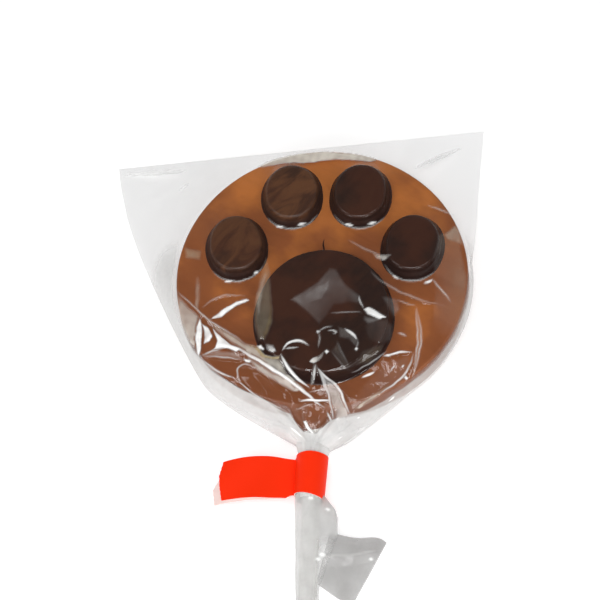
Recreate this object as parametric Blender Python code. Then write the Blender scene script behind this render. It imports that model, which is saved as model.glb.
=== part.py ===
# Paw print chocolate lollipop, lying face up in its clear gathered bag.
# Metres, +Z up, stick along -Y. Lengths below are in millimetres and scaled once, by MM.
import math

import bmesh
import bpy
import numpy as np
from mathutils import Vector

MM = 0.001
GAP = 0.3                     # clear space between pieces that touch
SHARP_ANGLE = 32.0            # degrees between faces, above which their edge stays sharp

# Chocolate disc: its centre is the drawing's origin, and the bag is under it
DISC_RADIUS = 39.0            # at the back, the widest place
DISC_DRAFT = 0.4              # how much narrower the front is
DISC_BOTTOM = 0.7
DISC_TOP = 8.0
DISC_EDGE = 0.5               # rounding of the front edge
DISC_FOOT = 0.3               # chamfer of the back edge
DISC_SIDES = 96

# Paw pads, raised from the disc
PAW_AXIS = 0.6                # the paw sits slightly right of the disc's centre
TOE_LENGTH = 20.5
TOE_WIDTH = 16.8
TOE_HEIGHT = 3.2
TOE_INSET = 1.9               # how much smaller the top is, on each side
TOE_POWER = 2.15              # 2 is an ellipse, more is squarer
TOE_SIDES = 28
OUTER_TOE = (23.4, 7.4)       # sideways from the paw's axis, and up from the disc's centre
INNER_TOE = (9.3, 23.4)
OUTER_TURN = 8.0              # degrees that the toes lean outwards
INNER_TURN = 3.0
PAD_WIDTH = 37.0
PAD_LENGTH = 38.8
PAD_AXIS = 1.2
PAD_CENTRE = -13.1
PAD_HEIGHT = 4.2
PAD_INSET = 2.1
PAD_POWER = 2.08
PAD_TAPER = 0.0016            # loss of width for each millimetre towards the toes
PAD_SIDES = 48
RIM = 0.5                     # height of the rounded upper edge of toes and pad
FOOT = 0.5                    # height of their almost upright foot
CROWN = 0.12                  # how far the middle of their top stands above its edge

# Paper stick, pushed into the disc's edge
STICK_AXIS = -0.3
STICK_RADIUS = 2.25
STICK_LENGTH = 114.0
STICK_HIDDEN = 44.0           # length inside the chocolate, from the disc's edge
STICK_SIDES = 20
STICK_HEIGHT = (DISC_BOTTOM + DISC_TOP) / 2
STICK_CHAMFER = 0.25
BOSS_WIDTH = 9.0              # lump of chocolate round the stick where it comes out
BOSS_LENGTH = 4.0
BOSS_SLOPE = 1.0

# Bag: seen from above, from its sealed end at the top to the gathered neck
BAG_LEFT = [(-59.2, 38.2), (-57.8, 30.8), (-53.3, 15.3), (-41.6, -9.4),
            (-31.3, -28.2), (-27.6, -32.8), (-15.5, -41.6), (-4.8, -47.4)]
BAG_RIGHT_ABOVE = [(43.2, 49.7), (41.6, 30.0), (40.9, 15.0)]
BAG_RIGHT_BELOW = [(20.6, -35.4), (14.6, -40.6), (8.2, -46.0), (3.9, -48.8)]
HUG_RADIUS = 40.05            # on its right the bag is drawn tight round the disc
HUG_FROM = 8.0                # degrees above and below +X
HUG_TO = -53.0
BAG_WALL = 0.5                # least thickness round what is inside
PAD_MARGIN = 0.7              # how far outside each of these the film already clears it
DISC_MARGIN = 1.6
STICK_MARGIN = 1.4
EDGE_SLOPE = 7.0              # width of the bag's slope from the disc down to its seams
SEAM_THICKNESS = 0.9          # the two films where they lie together
BAG_STATIONS = 40
BAG_ACROSS = 40               # divisions of the upper film
BAG_UNDER = 8                 # divisions of the lower film
PLEATS = 7                    # folds that fan out from the neck
PLEAT_DEPTH = 0.9
PLEAT_MIDDLE = 14.0           # distance from the neck where they are deepest
PLEAT_SPREAD = 9.0
RELAX_ROUNDS = 400
GATHER_FROM = 0.86            # share of the bag's length where its section starts to turn round

# Neck, inside the ring of tape
NECK_CENTRE = -0.6
NECK_HALF_WIDTH = 3.3
NECK_HALF_HEIGHT = 3.2
NECK_START = -49.6
NECK_END = -63.2
NECK_SWELL = 0.3              # the bag's last section is this much taller than the neck
NECK_STATIONS = 4

# Tail of the bag round the stick, with the corner that flares to the right
TAIL_END = -94.0
TAIL_LEFT = [(-63.2, -3.9), (-75.0, -3.7), (-94.0, -3.6)]
TAIL_RIGHT = [(-63.2, 2.7), (-66.0, 5.7), (-71.4, 6.9), (-73.2, 17.6), (-81.0, 14.0),
              (-88.0, 10.5), (-89.6, 3.4), (-94.0, 3.1)]
TAIL_STATIONS = 16
TAIL_RADIUS = 3.3
TAIL_FLOOR = 0.5
TAIL_OPENING = 5.0            # length over which the neck opens into the tail
TAIL_WRAP = 0.55              # share of the upper film that goes round the stick
FIN_ANGLE = 25.0              # degrees above the stick's right side where the fin leaves it
FIN_THICKNESS = 1.4
FIN_CURVE = 0.7               # less than 1 drops the fin's surface sooner

# Tape: a ring round the neck and its two ends stuck together as a flag
TAPE_WIDTH = 11.8
TAPE_START = -50.4
TAPE_WALL = 0.4
TAPE_SIDES = 32
FLAG_END = -23.4
FLAG_TAB = 2.0                # the lower end sticks out further on its near side
FLAG_TAB_FROM = 0.75          # share of the flag's length where that begins
FLAG_THICKNESS = 0.5
FLAG_ARCH = 1.3
FLAG_DROP = 1.6
FLAG_STEPS = 8

MILK = (0.31, 0.092, 0.036)
DARK = (0.042, 0.021, 0.015)
FILM = (0.90, 0.91, 0.91)
PAPER = (0.82, 0.81, 0.78)
TAPE_RED = (0.99, 0.043, 0.008)


def clear_scene():
    for thing in list(bpy.data.objects):
        bpy.data.objects.remove(thing, do_unlink=True)


def finish(name, colour, roughness, alpha=1.0):
    material = bpy.data.materials.new(name)
    material.use_nodes = True
    shader = material.node_tree.nodes["Principled BSDF"]
    shader.inputs["Base Color"].default_value = (*colour, 1.0)
    shader.inputs["Roughness"].default_value = roughness
    shader.inputs["Metallic"].default_value = 0.0
    shader.inputs["Alpha"].default_value = alpha
    return material


def new_object(name, mesh_builder, material=None, parent=None):
    mesh = bpy.data.meshes.new(name)
    bmesh.ops.recalc_face_normals(mesh_builder, faces=mesh_builder.faces)
    mesh_builder.to_mesh(mesh)
    mesh_builder.free()
    made = bpy.data.objects.new(name, mesh)
    bpy.context.scene.collection.objects.link(made)
    made.parent = parent
    if material:
        mesh.materials.append(material)
    mesh.shade_smooth()
    mesh.set_sharp_from_angle(angle=math.radians(SHARP_ANGLE))
    return made


def oval(sides, half_width, half_length, power=2.0):
    """Points of a superellipse, counter-clockwise from +X."""
    points = []
    for step in range(sides):
        turn = 2 * math.pi * step / sides
        c, s = math.cos(turn), math.sin(turn)
        points.append((half_width * math.copysign(abs(c) ** (2 / power), c),
                       half_length * math.copysign(abs(s) ** (2 / power), s)))
    return points


def loft(loops):
    """One closed body through loops of equally many points, both ends capped."""
    made = bmesh.new()
    rows = [[made.verts.new(Vector(point) * MM) for point in loop] for loop in loops]
    for lower, upper in zip(rows, rows[1:]):
        for index in range(len(lower)):
            after = (index + 1) % len(lower)
            made.faces.new((lower[index], lower[after], upper[after], upper[index]))
    made.faces.new(list(reversed(rows[0])))
    made.faces.new(rows[-1])
    return made


def raised_oval(width, length, height, inset, sides, power, grow=0.0):
    """Rings of a pad: straight foot, sloping side, rounded rim, slightly crowned top."""
    rings = []
    for rise, shrink in ((0.0, 0.0), (FOOT, 0.05 * inset), (height - RIM, 0.72 * inset),
                         (height - 0.3 * RIM, 0.84 * inset), (height, inset)):
        rings.append((rise, width / 2 - shrink, length / 2 - shrink))
    rings.append((height + CROWN, width * 0.22, length * 0.22))
    loops = []
    for rise, half_width, half_length in rings:
        level = rise + (grow if rise > 0 else -grow)
        ring = oval(sides, half_width + grow, half_length + grow, power)
        loops.append([(x, y, level) for x, y in ring])
    return loops


def place(loops, x, y, z, turn=0.0):
    c, s = math.cos(math.radians(turn)), math.sin(math.radians(turn))
    return [[(x + px * c - py * s, y + px * s + py * c, z + pz) for px, py, pz in loop]
            for loop in loops]


def toe_places():
    places = []
    for side, word in ((-1, "left"), (1, "right")):
        for (across, up), turn, kind in ((OUTER_TOE, OUTER_TURN, "outer"), (INNER_TOE, INNER_TURN, "inner")):
            places.append((f"toe_{kind}_{word}", PAW_AXIS + side * across, up, -side * turn))
    return places


def toe_loops(x, y, turn, grow=0.0):
    loops = raised_oval(TOE_WIDTH, TOE_LENGTH, TOE_HEIGHT, TOE_INSET, TOE_SIDES, TOE_POWER, grow)
    return place(loops, x, y, DISC_TOP + GAP, turn)


def pad_loops(grow=0.0):
    """The large pad: a broad oval, a little narrower towards the toes."""
    loops = raised_oval(PAD_WIDTH, PAD_LENGTH, PAD_HEIGHT, PAD_INSET, PAD_SIDES, PAD_POWER, grow)
    narrowed = [[(x * (1 - PAD_TAPER * max(y, 0.0)), y, z) for x, y, z in loop] for loop in loops]
    return place(narrowed, PAD_AXIS, PAD_CENTRE, DISC_TOP + GAP)


def disc_loops(grow=0.0):
    """The disc's rings; the ones near the stick swell into the boss round it."""
    front = DISC_RADIUS - DISC_DRAFT
    rings = [(DISC_BOTTOM - grow, DISC_RADIUS - DISC_FOOT), (DISC_BOTTOM + DISC_FOOT, DISC_RADIUS),
             (STICK_HEIGHT, DISC_RADIUS - DISC_DRAFT / 2), (DISC_TOP - DISC_EDGE, front),
             (DISC_TOP - 0.3 * DISC_EDGE, front - 0.3 * DISC_EDGE), (DISC_TOP + grow, front - DISC_EDGE)]
    loops = []
    for level, radius in rings:
        loop = []
        low = min(1.0, max(0.0, (DISC_TOP - level) / BOSS_SLOPE))
        for x, y in oval(DISC_SIDES, radius + grow, radius + grow):
            beside = abs(x - STICK_AXIS) / (BOSS_WIDTH / 2)
            bulge = BOSS_LENGTH * low * max(0.0, 1 - beside ** 3) if y < 0 else 0.0
            loop.append((x, y - bulge, level))
        loops.append(loop)
    return loops


def rod_loop(radius, y):
    return [(STICK_AXIS + x, y, STICK_HEIGHT + z) for x, z in oval(STICK_SIDES, radius, radius)]


def stick_ends():
    """Where the stick ends inside the chocolate, and where its free end is."""
    return STICK_HIDDEN - DISC_RADIUS, STICK_HIDDEN - DISC_RADIUS - STICK_LENGTH


def cut(target, cutters):
    """Cut each closed form in cutters out of target, and keep only the result."""
    for cutter in cutters:
        cutter.hide_render = True
        cutter.display_type = 'WIRE'
        modifier = target.modifiers.new("cut", 'BOOLEAN')
        modifier.operation = 'DIFFERENCE'
        modifier.solver = 'EXACT'
        modifier.object = cutter
    bpy.context.view_layer.update()
    shape = bpy.data.meshes.new_from_object(target.evaluated_get(bpy.context.evaluated_depsgraph_get()))
    target.modifiers.clear()
    target.data = shape
    for cutter in cutters:
        bpy.data.objects.remove(cutter, do_unlink=True)
    shape.shade_smooth()
    shape.set_sharp_from_angle(angle=math.radians(SHARP_ANGLE))


def inside_oval(x, y, centre_x, centre_y, half_width, half_length):
    return ((x - centre_x) / half_width) ** 2 + ((y - centre_y) / half_length) ** 2 < 1


def least_height(x, y):
    """The height that the upper film needs to clear what lies under it."""
    over = GAP + BAG_WALL
    need = np.full(x.shape, SEAM_THICKNESS)
    beside = np.abs(x - STICK_AXIS) < STICK_RADIUS + STICK_MARGIN
    need[beside & (y < 0)] = STICK_HEIGHT + STICK_RADIUS + over
    need[np.hypot(x, y) < DISC_RADIUS + DISC_MARGIN] = DISC_TOP + over
    for _, toe_x, toe_y, _ in toe_places():
        inside = inside_oval(x, y, toe_x, toe_y, TOE_WIDTH / 2 + PAD_MARGIN, TOE_LENGTH / 2 + PAD_MARGIN)
        need[inside] = DISC_TOP + GAP + TOE_HEIGHT + over
    inside = inside_oval(x, y, PAD_AXIS, PAD_CENTRE, PAD_WIDTH / 2 + PAD_MARGIN, PAD_LENGTH / 2 + PAD_MARGIN)
    need[inside] = DISC_TOP + GAP + PAD_HEIGHT + over
    return need


def right_edge():
    """The bag's right edge: two drawn stretches joined by an arc round the disc."""
    arc = []
    for step in range(9):
        turn = math.radians(HUG_FROM + (HUG_TO - HUG_FROM) * step / 8)
        arc.append((HUG_RADIUS * math.cos(turn), HUG_RADIUS * math.sin(turn)))
    return BAG_RIGHT_ABOVE + arc + BAG_RIGHT_BELOW


def stations_along(path, count):
    """Points equally far apart along a drawn edge."""
    points = np.array(path)
    reach = np.concatenate([[0.0], np.cumsum(np.hypot(*np.diff(points, axis=0).T))])
    steps = np.linspace(0.0, reach[-1], count)
    return np.stack([np.interp(steps, reach, points[:, axis]) for axis in (0, 1)], axis=1)


def edge_height(x, y):
    """How high the bag's side stands: tall beside the disc, thin away from it."""
    beyond = np.hypot(x, y) - DISC_RADIUS
    near = np.clip(1.0 - (beyond - DISC_MARGIN) / EDGE_SLOPE, 0.0, 1.0)
    return SEAM_THICKNESS + (DISC_TOP + GAP + BAG_WALL - SEAM_THICKNESS) * near


def upper_film():
    """Grid of the upper film from the sealed end to the neck, drawn tight over the paw."""
    left = stations_along(BAG_LEFT, BAG_STATIONS)
    right = stations_along(right_edge(), BAG_STATIONS)
    share = np.linspace(0.0, 1.0, BAG_ACROSS + 1)[None, :, None]
    plan = left[:, None, :] * (1 - share) + right[:, None, :] * share
    x, y = plan[..., 0], plan[..., 1]
    need = least_height(x, y)
    height = np.maximum(need, edge_height(x, y))
    height[0, :] = SEAM_THICKNESS
    for _ in range(RELAX_ROUNDS):
        middle = (height[:-2, 1:-1] + height[2:, 1:-1] + height[1:-1, :-2] + height[1:-1, 2:]) / 4
        height[1:-1, 1:-1] = np.maximum(need[1:-1, 1:-1], middle)
    away = np.hypot(x - NECK_CENTRE, y - NECK_START)
    bearing = np.arctan2(x - NECK_CENTRE, y - NECK_START)
    fan = PLEAT_DEPTH * np.exp(-((away - PLEAT_MIDDLE) / PLEAT_SPREAD) ** 2)
    height[1:, 1:-1] += (fan * (1 + np.cos(2 * PLEATS * bearing)) / 2)[1:, 1:-1]
    return x, y, height


def round_section(centre, half_width, middle, half_height):
    """Upper points from left to right, then lower points from right to left."""
    ring = []
    for step in range(BAG_ACROSS + 1):
        turn = math.pi * (1 - step / BAG_ACROSS)
        ring.append((centre + half_width * math.cos(turn), middle + half_height * math.sin(turn)))
    for step in range(BAG_UNDER + 1):
        turn = -math.pi * (step + 1) / (BAG_UNDER + 2)
        ring.append((centre + half_width * math.cos(turn), middle + half_height * math.sin(turn)))
    return ring


def tail_section(left, right):
    """The film round the stick, with a thin fin that reaches out to the right."""
    ring = []
    fin_right = max(right, STICK_AXIS + TAIL_RADIUS)
    last = math.radians(FIN_ANGLE)
    for step in range(BAG_ACROSS + 1):
        share = step / BAG_ACROSS
        turn = math.pi - (math.pi - last) * min(share / TAIL_WRAP, 1.0)
        x = max(left, STICK_AXIS + TAIL_RADIUS * math.cos(turn))
        z = STICK_HEIGHT + TAIL_RADIUS * math.sin(turn)
        if share > TAIL_WRAP:
            out = (share - TAIL_WRAP) / (1 - TAIL_WRAP)
            x += (fin_right - x) * out
            z += (TAIL_FLOOR + FIN_THICKNESS - z) * out ** FIN_CURVE
        ring.append((x, z))
    for step in range(BAG_UNDER + 1):
        x = fin_right + (left - fin_right) * step / BAG_UNDER
        ring.append((x, TAIL_FLOOR))
    return ring


def body_loops():
    """Sections of the bag from its sealed end to the neck, rounder as they near it."""
    x, y, height = upper_film()
    loops = []
    for row in range(BAG_STATIONS):
        gather = max(0.0, (row / (BAG_STATIONS - 1) - GATHER_FROM) / (1 - GATHER_FROM))
        gather = gather * gather * (3 - 2 * gather)
        half_width = (x[row, -1] - x[row, 0]) / 2
        centre = (x[row, -1] + x[row, 0]) / 2
        rounded = round_section(centre, half_width, STICK_HEIGHT, NECK_HALF_HEIGHT + NECK_SWELL)
        flat = list(zip(x[row], y[row], height[row]))
        for step in range(BAG_UNDER + 1):
            share = 1 - step / BAG_UNDER
            flat.append((x[row, 0] + (x[row, -1] - x[row, 0]) * share,
                         y[row, 0] + (y[row, -1] - y[row, 0]) * share, 0.0))
        loops.append([(px + (rx - px) * gather, py, pz + (rz - pz) * gather)
                      for (px, py, pz), (rx, rz) in zip(flat, rounded)])
    return loops


def bag_loops():
    """All sections of the bag, from its sealed end to its mouth at the end of the tail."""
    loops = body_loops()
    neck = round_section(NECK_CENTRE, NECK_HALF_WIDTH, STICK_HEIGHT, NECK_HALF_HEIGHT)
    for y_neck in np.linspace(NECK_START, NECK_END, NECK_STATIONS):
        loops.append([(px, y_neck, pz) for px, pz in neck])
    for y_tail in np.linspace(NECK_END, TAIL_END, TAIL_STATIONS + 1)[1:]:
        open_up = min(1.0, (NECK_END - y_tail) / TAIL_OPENING)
        left = np.interp(-y_tail, [-p[0] for p in TAIL_LEFT], [p[1] for p in TAIL_LEFT])
        right = np.interp(-y_tail, [-p[0] for p in TAIL_RIGHT], [p[1] for p in TAIL_RIGHT])
        ring = tail_section(left, right)
        loops.append([(nx + (tx - nx) * open_up, y_tail, nz + (tz - nz) * open_up)
                      for (nx, nz), (tx, tz) in zip(neck, ring)])
    return loops


def make_disc(parent, material):
    disc = new_object("milk_disc", loft(disc_loops()), material, parent)
    hidden_end, _ = stick_ends()
    past_boss = -(DISC_RADIUS + 2 * BOSS_LENGTH)
    loops = [rod_loop(STICK_RADIUS + GAP, y) for y in (hidden_end + GAP, past_boss)]
    cut(disc, [new_object("socket", loft(loops))])


def make_paw(parent, material):
    for name, x, y, turn in toe_places():
        new_object(name, loft(toe_loops(x, y, turn)), material, parent)
    new_object("main_pad", loft(pad_loops()), material, parent)


def make_stick(parent, material):
    hidden_end, free_end = stick_ends()
    loops = [rod_loop(STICK_RADIUS - STICK_CHAMFER, hidden_end),
             rod_loop(STICK_RADIUS, hidden_end - STICK_CHAMFER),
             rod_loop(STICK_RADIUS, free_end + STICK_CHAMFER),
             rod_loop(STICK_RADIUS - STICK_CHAMFER, free_end)]
    new_object("stick", loft(loops), material, parent)


def make_bag(parent, material):
    """The bag is one body with room for everything inside it, each kept GAP away."""
    bag = new_object("bag", loft(bag_loops()), material, parent)
    hidden_end, free_end = stick_ends()
    spaces = [new_object("space_disc", loft(disc_loops(GAP)))]
    for name, x, y, turn in toe_places():
        spaces.append(new_object("space_" + name, loft(toe_loops(x, y, turn, GAP))))
    spaces.append(new_object("space_pad", loft(pad_loops(GAP))))
    loops = [rod_loop(STICK_RADIUS + GAP, y) for y in (hidden_end, free_end - STICK_RADIUS)]
    spaces.append(new_object("space_stick", loft(loops)))
    cut(bag, spaces)


def turned_oval(half_width, half_height):
    """A section of the ring, turned by half a side so that the flag leaves one flat side."""
    half = math.pi / TAPE_SIDES
    c, s = math.cos(half), math.sin(half)
    return [(x * c - z * s, x * s + z * c) for x, z in oval(TAPE_SIDES, half_width, half_height)]


def flag_line(start, tab):
    """Upper and lower points of the flag's section, away from the ring; tab lengthens its end."""
    line = []
    for step in range(1, FLAG_STEPS + 1):
        share = step / FLAG_STEPS
        reach = start + (FLAG_END - start) * share
        reach -= tab * max(0.0, (share - FLAG_TAB_FROM) / (1 - FLAG_TAB_FROM))
        middle = FLAG_ARCH * math.sin(math.pi * share) - FLAG_DROP * share ** 2
        line.append([(reach, middle + FLAG_THICKNESS / 2), (reach, middle - FLAG_THICKNESS / 2)])
    return line


def make_tape(parent, material):
    """Ring and flag as one section in XZ, drawn out along Y."""
    inner_width, inner_height = NECK_HALF_WIDTH + GAP, NECK_HALF_HEIGHT + GAP
    inside = turned_oval(inner_width, inner_height)
    outside = turned_oval(inner_width + TAPE_WALL, inner_height + TAPE_WALL)
    above, below = TAPE_SIDES // 2 - 1, TAPE_SIDES // 2
    flag_start = NECK_CENTRE + outside[above][0]
    made = bmesh.new()

    def vertex(x, y, z):
        return made.verts.new(Vector((x, y, STICK_HEIGHT + z)) * MM)

    ends = []
    for y, tab in ((TAPE_START, 0.0), (TAPE_START - TAPE_WIDTH, FLAG_TAB)):
        inner = [vertex(NECK_CENTRE + x, y, z) for x, z in inside]
        outer = [vertex(NECK_CENTRE + x, y, z) for x, z in outside]
        flag = [[outer[above], outer[below]]]
        flag += [[vertex(x, y, z) for x, z in pair] for pair in flag_line(flag_start, tab)]
        ends.append((inner, outer, flag))
    (near_inner, near_outer, near_flag), (far_inner, far_outer, far_flag) = ends
    for index in range(TAPE_SIDES):
        after = (index + 1) % TAPE_SIDES
        for inner, outer, _ in ends:
            made.faces.new((inner[index], inner[after], outer[after], outer[index]))
        made.faces.new((near_inner[index], near_inner[after], far_inner[after], far_inner[index]))
        if index != above:
            made.faces.new((near_outer[index], near_outer[after], far_outer[after], far_outer[index]))
    for step in range(FLAG_STEPS):
        for _, _, flag in ends:
            made.faces.new((flag[step][0], flag[step][1], flag[step + 1][1], flag[step + 1][0]))
        for edge in (0, 1):
            made.faces.new((near_flag[step][edge], far_flag[step][edge],
                            far_flag[step + 1][edge], near_flag[step + 1][edge]))
    made.faces.new((near_flag[-1][0], near_flag[-1][1], far_flag[-1][1], far_flag[-1][0]))
    new_object("tape", made, material, parent)


def centre_on_origin(root):
    """Move everything so that the middle of the underside is the origin."""
    bpy.context.view_layer.update()
    corners = [made.matrix_world @ vertex.co for made in root.children for vertex in made.data.vertices]
    low = [min(corner[axis] for corner in corners) for axis in range(3)]
    high = [max(corner[axis] for corner in corners) for axis in range(3)]
    root.location = (-(low[0] + high[0]) / 2, -(low[1] + high[1]) / 2, -low[2])


def build():
    clear_scene()
    root = bpy.data.objects.new("lollipop", None)
    bpy.context.scene.collection.objects.link(root)
    make_disc(root, finish("milk_chocolate", MILK, 0.35))
    make_paw(root, finish("dark_chocolate", DARK, 0.28))
    make_stick(root, finish("white_paper", PAPER, 0.7))
    make_bag(root, finish("clear_film", FILM, 0.08, 0.3))
    make_tape(root, finish("red_tape", TAPE_RED, 0.45))
    centre_on_origin(root)


build()
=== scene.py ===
# Paw print chocolate lollipop, face up in its gathered clear bag, closed with red tape.
# Lengths are millimetres about the chocolate disc's centre on the table; put() turns them into the frame.
import math

import bpy
import numpy as np
from mathutils import Matrix, Vector


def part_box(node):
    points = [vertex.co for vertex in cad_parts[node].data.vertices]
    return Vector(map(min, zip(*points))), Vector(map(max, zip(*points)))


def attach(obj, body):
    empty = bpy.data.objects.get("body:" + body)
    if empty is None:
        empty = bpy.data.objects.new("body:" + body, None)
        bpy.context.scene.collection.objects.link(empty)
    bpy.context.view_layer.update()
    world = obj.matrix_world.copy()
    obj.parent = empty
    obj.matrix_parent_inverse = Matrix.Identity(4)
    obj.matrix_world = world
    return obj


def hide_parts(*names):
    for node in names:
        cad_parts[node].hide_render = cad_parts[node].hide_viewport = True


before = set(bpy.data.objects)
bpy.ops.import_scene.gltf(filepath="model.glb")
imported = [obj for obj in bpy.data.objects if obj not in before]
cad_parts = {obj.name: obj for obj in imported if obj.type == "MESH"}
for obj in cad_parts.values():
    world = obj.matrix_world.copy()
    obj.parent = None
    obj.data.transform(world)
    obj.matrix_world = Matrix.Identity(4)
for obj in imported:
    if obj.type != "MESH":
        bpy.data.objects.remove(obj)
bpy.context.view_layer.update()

mm = 0.001
discLow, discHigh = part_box("milk_disc")
stickLow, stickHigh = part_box("stick")
discRadius = (discHigh.x - discLow.x) / 2 / mm
discTop, discBottom = discHigh.z / mm, discLow.z / mm
middleX = (discLow.x + discHigh.x) / 2
middleY = discHigh.y - discRadius * mm
stickRadius = (stickHigh.x - stickLow.x) / 2 / mm
stickX = ((stickLow.x + stickHigh.x) / 2 - middleX) / mm
stickZ = (stickLow.z + stickHigh.z) / 2 / mm
stickTop, stickEnd = (stickHigh.y - middleY) / mm, (stickLow.y - middleY) / mm
print("frame loaded, disc radius", round(discRadius, 2), "mm")


def put(points):
    return np.asarray(points, float) * mm + np.array([middleX, middleY, 0.0])


def addObject(name, data):
    made = bpy.data.objects.new(name, data)
    bpy.context.scene.collection.objects.link(made)
    return made


def makePiece(name, points, faces, materials, replaced=(), sharp=None, shade=None):
    mesh = bpy.data.meshes.new(name)
    mesh.from_pydata(put(points).tolist(), [], faces)
    for material in materials:
        mesh.materials.append(material)
    if shade is not None:
        mesh.polygons.foreach_set("material_index", shade)
    mesh.shade_smooth()
    if sharp:
        mesh.set_sharp_from_angle(angle=math.radians(sharp))
    piece = addObject(name, mesh)
    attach(piece, "root")
    if replaced:
        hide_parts(*replaced)
    return piece


def gridFaces(rows, columns, closed=False, start=0, flip=False):
    # quads between neighbouring rows; closed joins the last column to the first
    wide = columns if closed else columns - 1
    faces = []
    for r in range(rows - 1):
        for c in range(wide):
            a, b = start + r * columns + c, start + r * columns + (c + 1) % columns
            quad = (a, b, b + columns, a + columns)
            faces.append(quad[::-1] if flip else quad)
    return faces


def ringPiece(name, rings, materials, replaced=(), sharp=None):
    # closed body through rings of equally many points, with a fan at each end
    sides = len(rings[0])
    points = np.concatenate([np.asarray(ring, float) for ring in rings])
    ends = [np.mean(rings[0], axis=0), np.mean(rings[-1], axis=0)]
    faces = gridFaces(len(rings), sides, closed=True)
    first, last = len(points), len(points) + 1
    top = (len(rings) - 1) * sides
    for c in range(sides):
        faces.append((first, (c + 1) % sides, c))
        faces.append((last, top + c, top + (c + 1) % sides))
    return makePiece(name, np.vstack([points, ends]), faces, materials, replaced, sharp)


def keepNumbers(piece, name, values):
    # a number for each point, which the piece's material reads by name
    layer = piece.data.attributes.new(name, 'FLOAT', 'POINT')
    layer.data.foreach_set("value", np.asarray(values, np.float32).ravel())


def readNumbers(tree, name):
    return addNode(tree, "ShaderNodeAttribute", attribute_name=name).outputs["Fac"]


def oval(sides, halfWidth, halfLength, power=2.0):
    turn = np.linspace(0, 2 * math.pi, sides, endpoint=False)
    c, s = np.cos(turn), np.sin(turn)
    return np.stack([halfWidth * np.sign(c) * np.abs(c) ** (2 / power),
                     halfLength * np.sign(s) * np.abs(s) ** (2 / power)], axis=1)


def smoothLine(points, rounds=2):
    # a drawn line with its corners rounded, ends kept
    line = np.array(points, float)
    for _ in range(rounds if len(line) > 2 else 0):
        near = line[:-1] * 0.75 + line[1:] * 0.25
        far = line[:-1] * 0.25 + line[1:] * 0.75
        line = np.vstack([line[:1], np.stack([near, far], axis=1).reshape(-1, 2)[1:-1], line[-1:]])
    return line


def ease(value):
    value = np.clip(value, 0.0, 1.0)
    return value * value * (3 - 2 * value)


def ripple(x, y, size, seed):
    # smooth random height between about -1 and 1, with waves about size long
    waves = np.random.default_rng(seed)
    total = np.zeros(np.shape(x))
    for _ in range(7):
        turn, phase = waves.uniform(0, 2 * math.pi, 2)
        pitch = 2 * math.pi / (size * waves.uniform(0.7, 1.5))
        total = total + np.sin((x * math.cos(turn) + y * math.sin(turn)) * pitch + phase)
    return total / 4.5


def crumple(x, y, seed):
    # flat facets one unit across that meet in sharp folds, heights about -1 to 1
    heights = np.random.default_rng(seed).uniform(-1, 1, (64, 64))
    warpX = x + 0.3 * ripple(x, y, 3.3, seed + 1)
    warpY = y + 0.3 * ripple(x, y, 3.3, seed + 2)
    skew = (warpX + warpY) * 0.366
    a, b = warpX + skew, warpY + skew
    i, j = np.floor(a).astype(int), np.floor(b).astype(int)
    a, b = a - i, b - j
    near, far = heights[i % 64, j % 64], heights[(i + 1) % 64, (j + 1) % 64]
    side = np.where(a > b, heights[(i + 1) % 64, j % 64], heights[i % 64, (j + 1) % 64])
    big, small = np.maximum(a, b), np.minimum(a, b)
    return near * (1 - big) + side * (big - small) + far * small


def fill(tree, node, inputs):
    # an input that is another node's output is linked, any other value is set
    for key, value in inputs.items():
        if isinstance(value, bpy.types.NodeSocket):
            tree.links.new(value, node.inputs[key])
        else:
            node.inputs[key].default_value = value


def addNode(tree, kind, inputs=None, **settings):
    made = tree.nodes.new(kind)
    for key, value in settings.items():
        setattr(made, key, value)
    fill(tree, made, inputs or {})
    return made


def newMaterial(name):
    material = bpy.data.materials.new(name)
    material.use_nodes = True
    tree = material.node_tree
    return material, tree, tree.nodes["Principled BSDF"]


def placeNoise(tree, scale, detail=3.0, stretch=(1, 1, 1), turn=0.0, rough=0.5, twist=0.0):
    # noise in the object's own space, turned about the vertical and drawn out by stretch
    where = addNode(tree, "ShaderNodeTexCoord")
    mapped = addNode(tree, "ShaderNodeMapping", {"Vector": where.outputs["Object"],
                                                "Rotation": (0, 0, math.radians(turn)),
                                                "Scale": stretch}, vector_type='TEXTURE')
    return addNode(tree, "ShaderNodeTexNoise", {"Vector": mapped.outputs[0], "Scale": scale, "Detail": detail,
                                               "Roughness": rough, "Distortion": twist}).outputs[0]


def ramp(tree, value, stops):
    made = addNode(tree, "ShaderNodeValToRGB", {"Fac": value})
    bar = made.color_ramp
    while len(bar.elements) < len(stops):
        bar.elements.new(0.5)
    for element, (place, colour) in zip(bar.elements, stops):
        element.position = place
        # a single number stands for a grey
        element.color = (*colour, 1.0) if isinstance(colour, tuple) else (colour, colour, colour, 1.0)
    return made.outputs[0]


def blend(tree, share, first, second, how='MIX'):
    first, second = [(*colour, 1.0) if isinstance(colour, tuple) else colour for colour in (first, second)]
    return addNode(tree, "ShaderNodeMix", {0: share, 6: first, 7: second}, data_type='RGBA',
                   blend_type=how).outputs[2]


def mottled(tree, grain, colour, darker):
    # the colour, and a darker shade of it where the grain is low
    return ramp(tree, grain, [(0.3, tuple(c * darker for c in colour)), (0.7, colour)])


def mixShaders(tree, share, first, second):
    return addNode(tree, "ShaderNodeMixShader", {0: share, 1: first, 2: second}).outputs[0]


def number(tree, operation, *values):
    return addNode(tree, "ShaderNodeMath", dict(enumerate(values)), operation=operation).outputs[0]


def bump(tree, height, strength, distance, under=None):
    inputs = {"Height": height, "Strength": strength, "Distance": distance}
    if under:
        inputs["Normal"] = under
    return addNode(tree, "ShaderNodeBump", inputs).outputs[0]


# Milk chocolate disc

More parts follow.
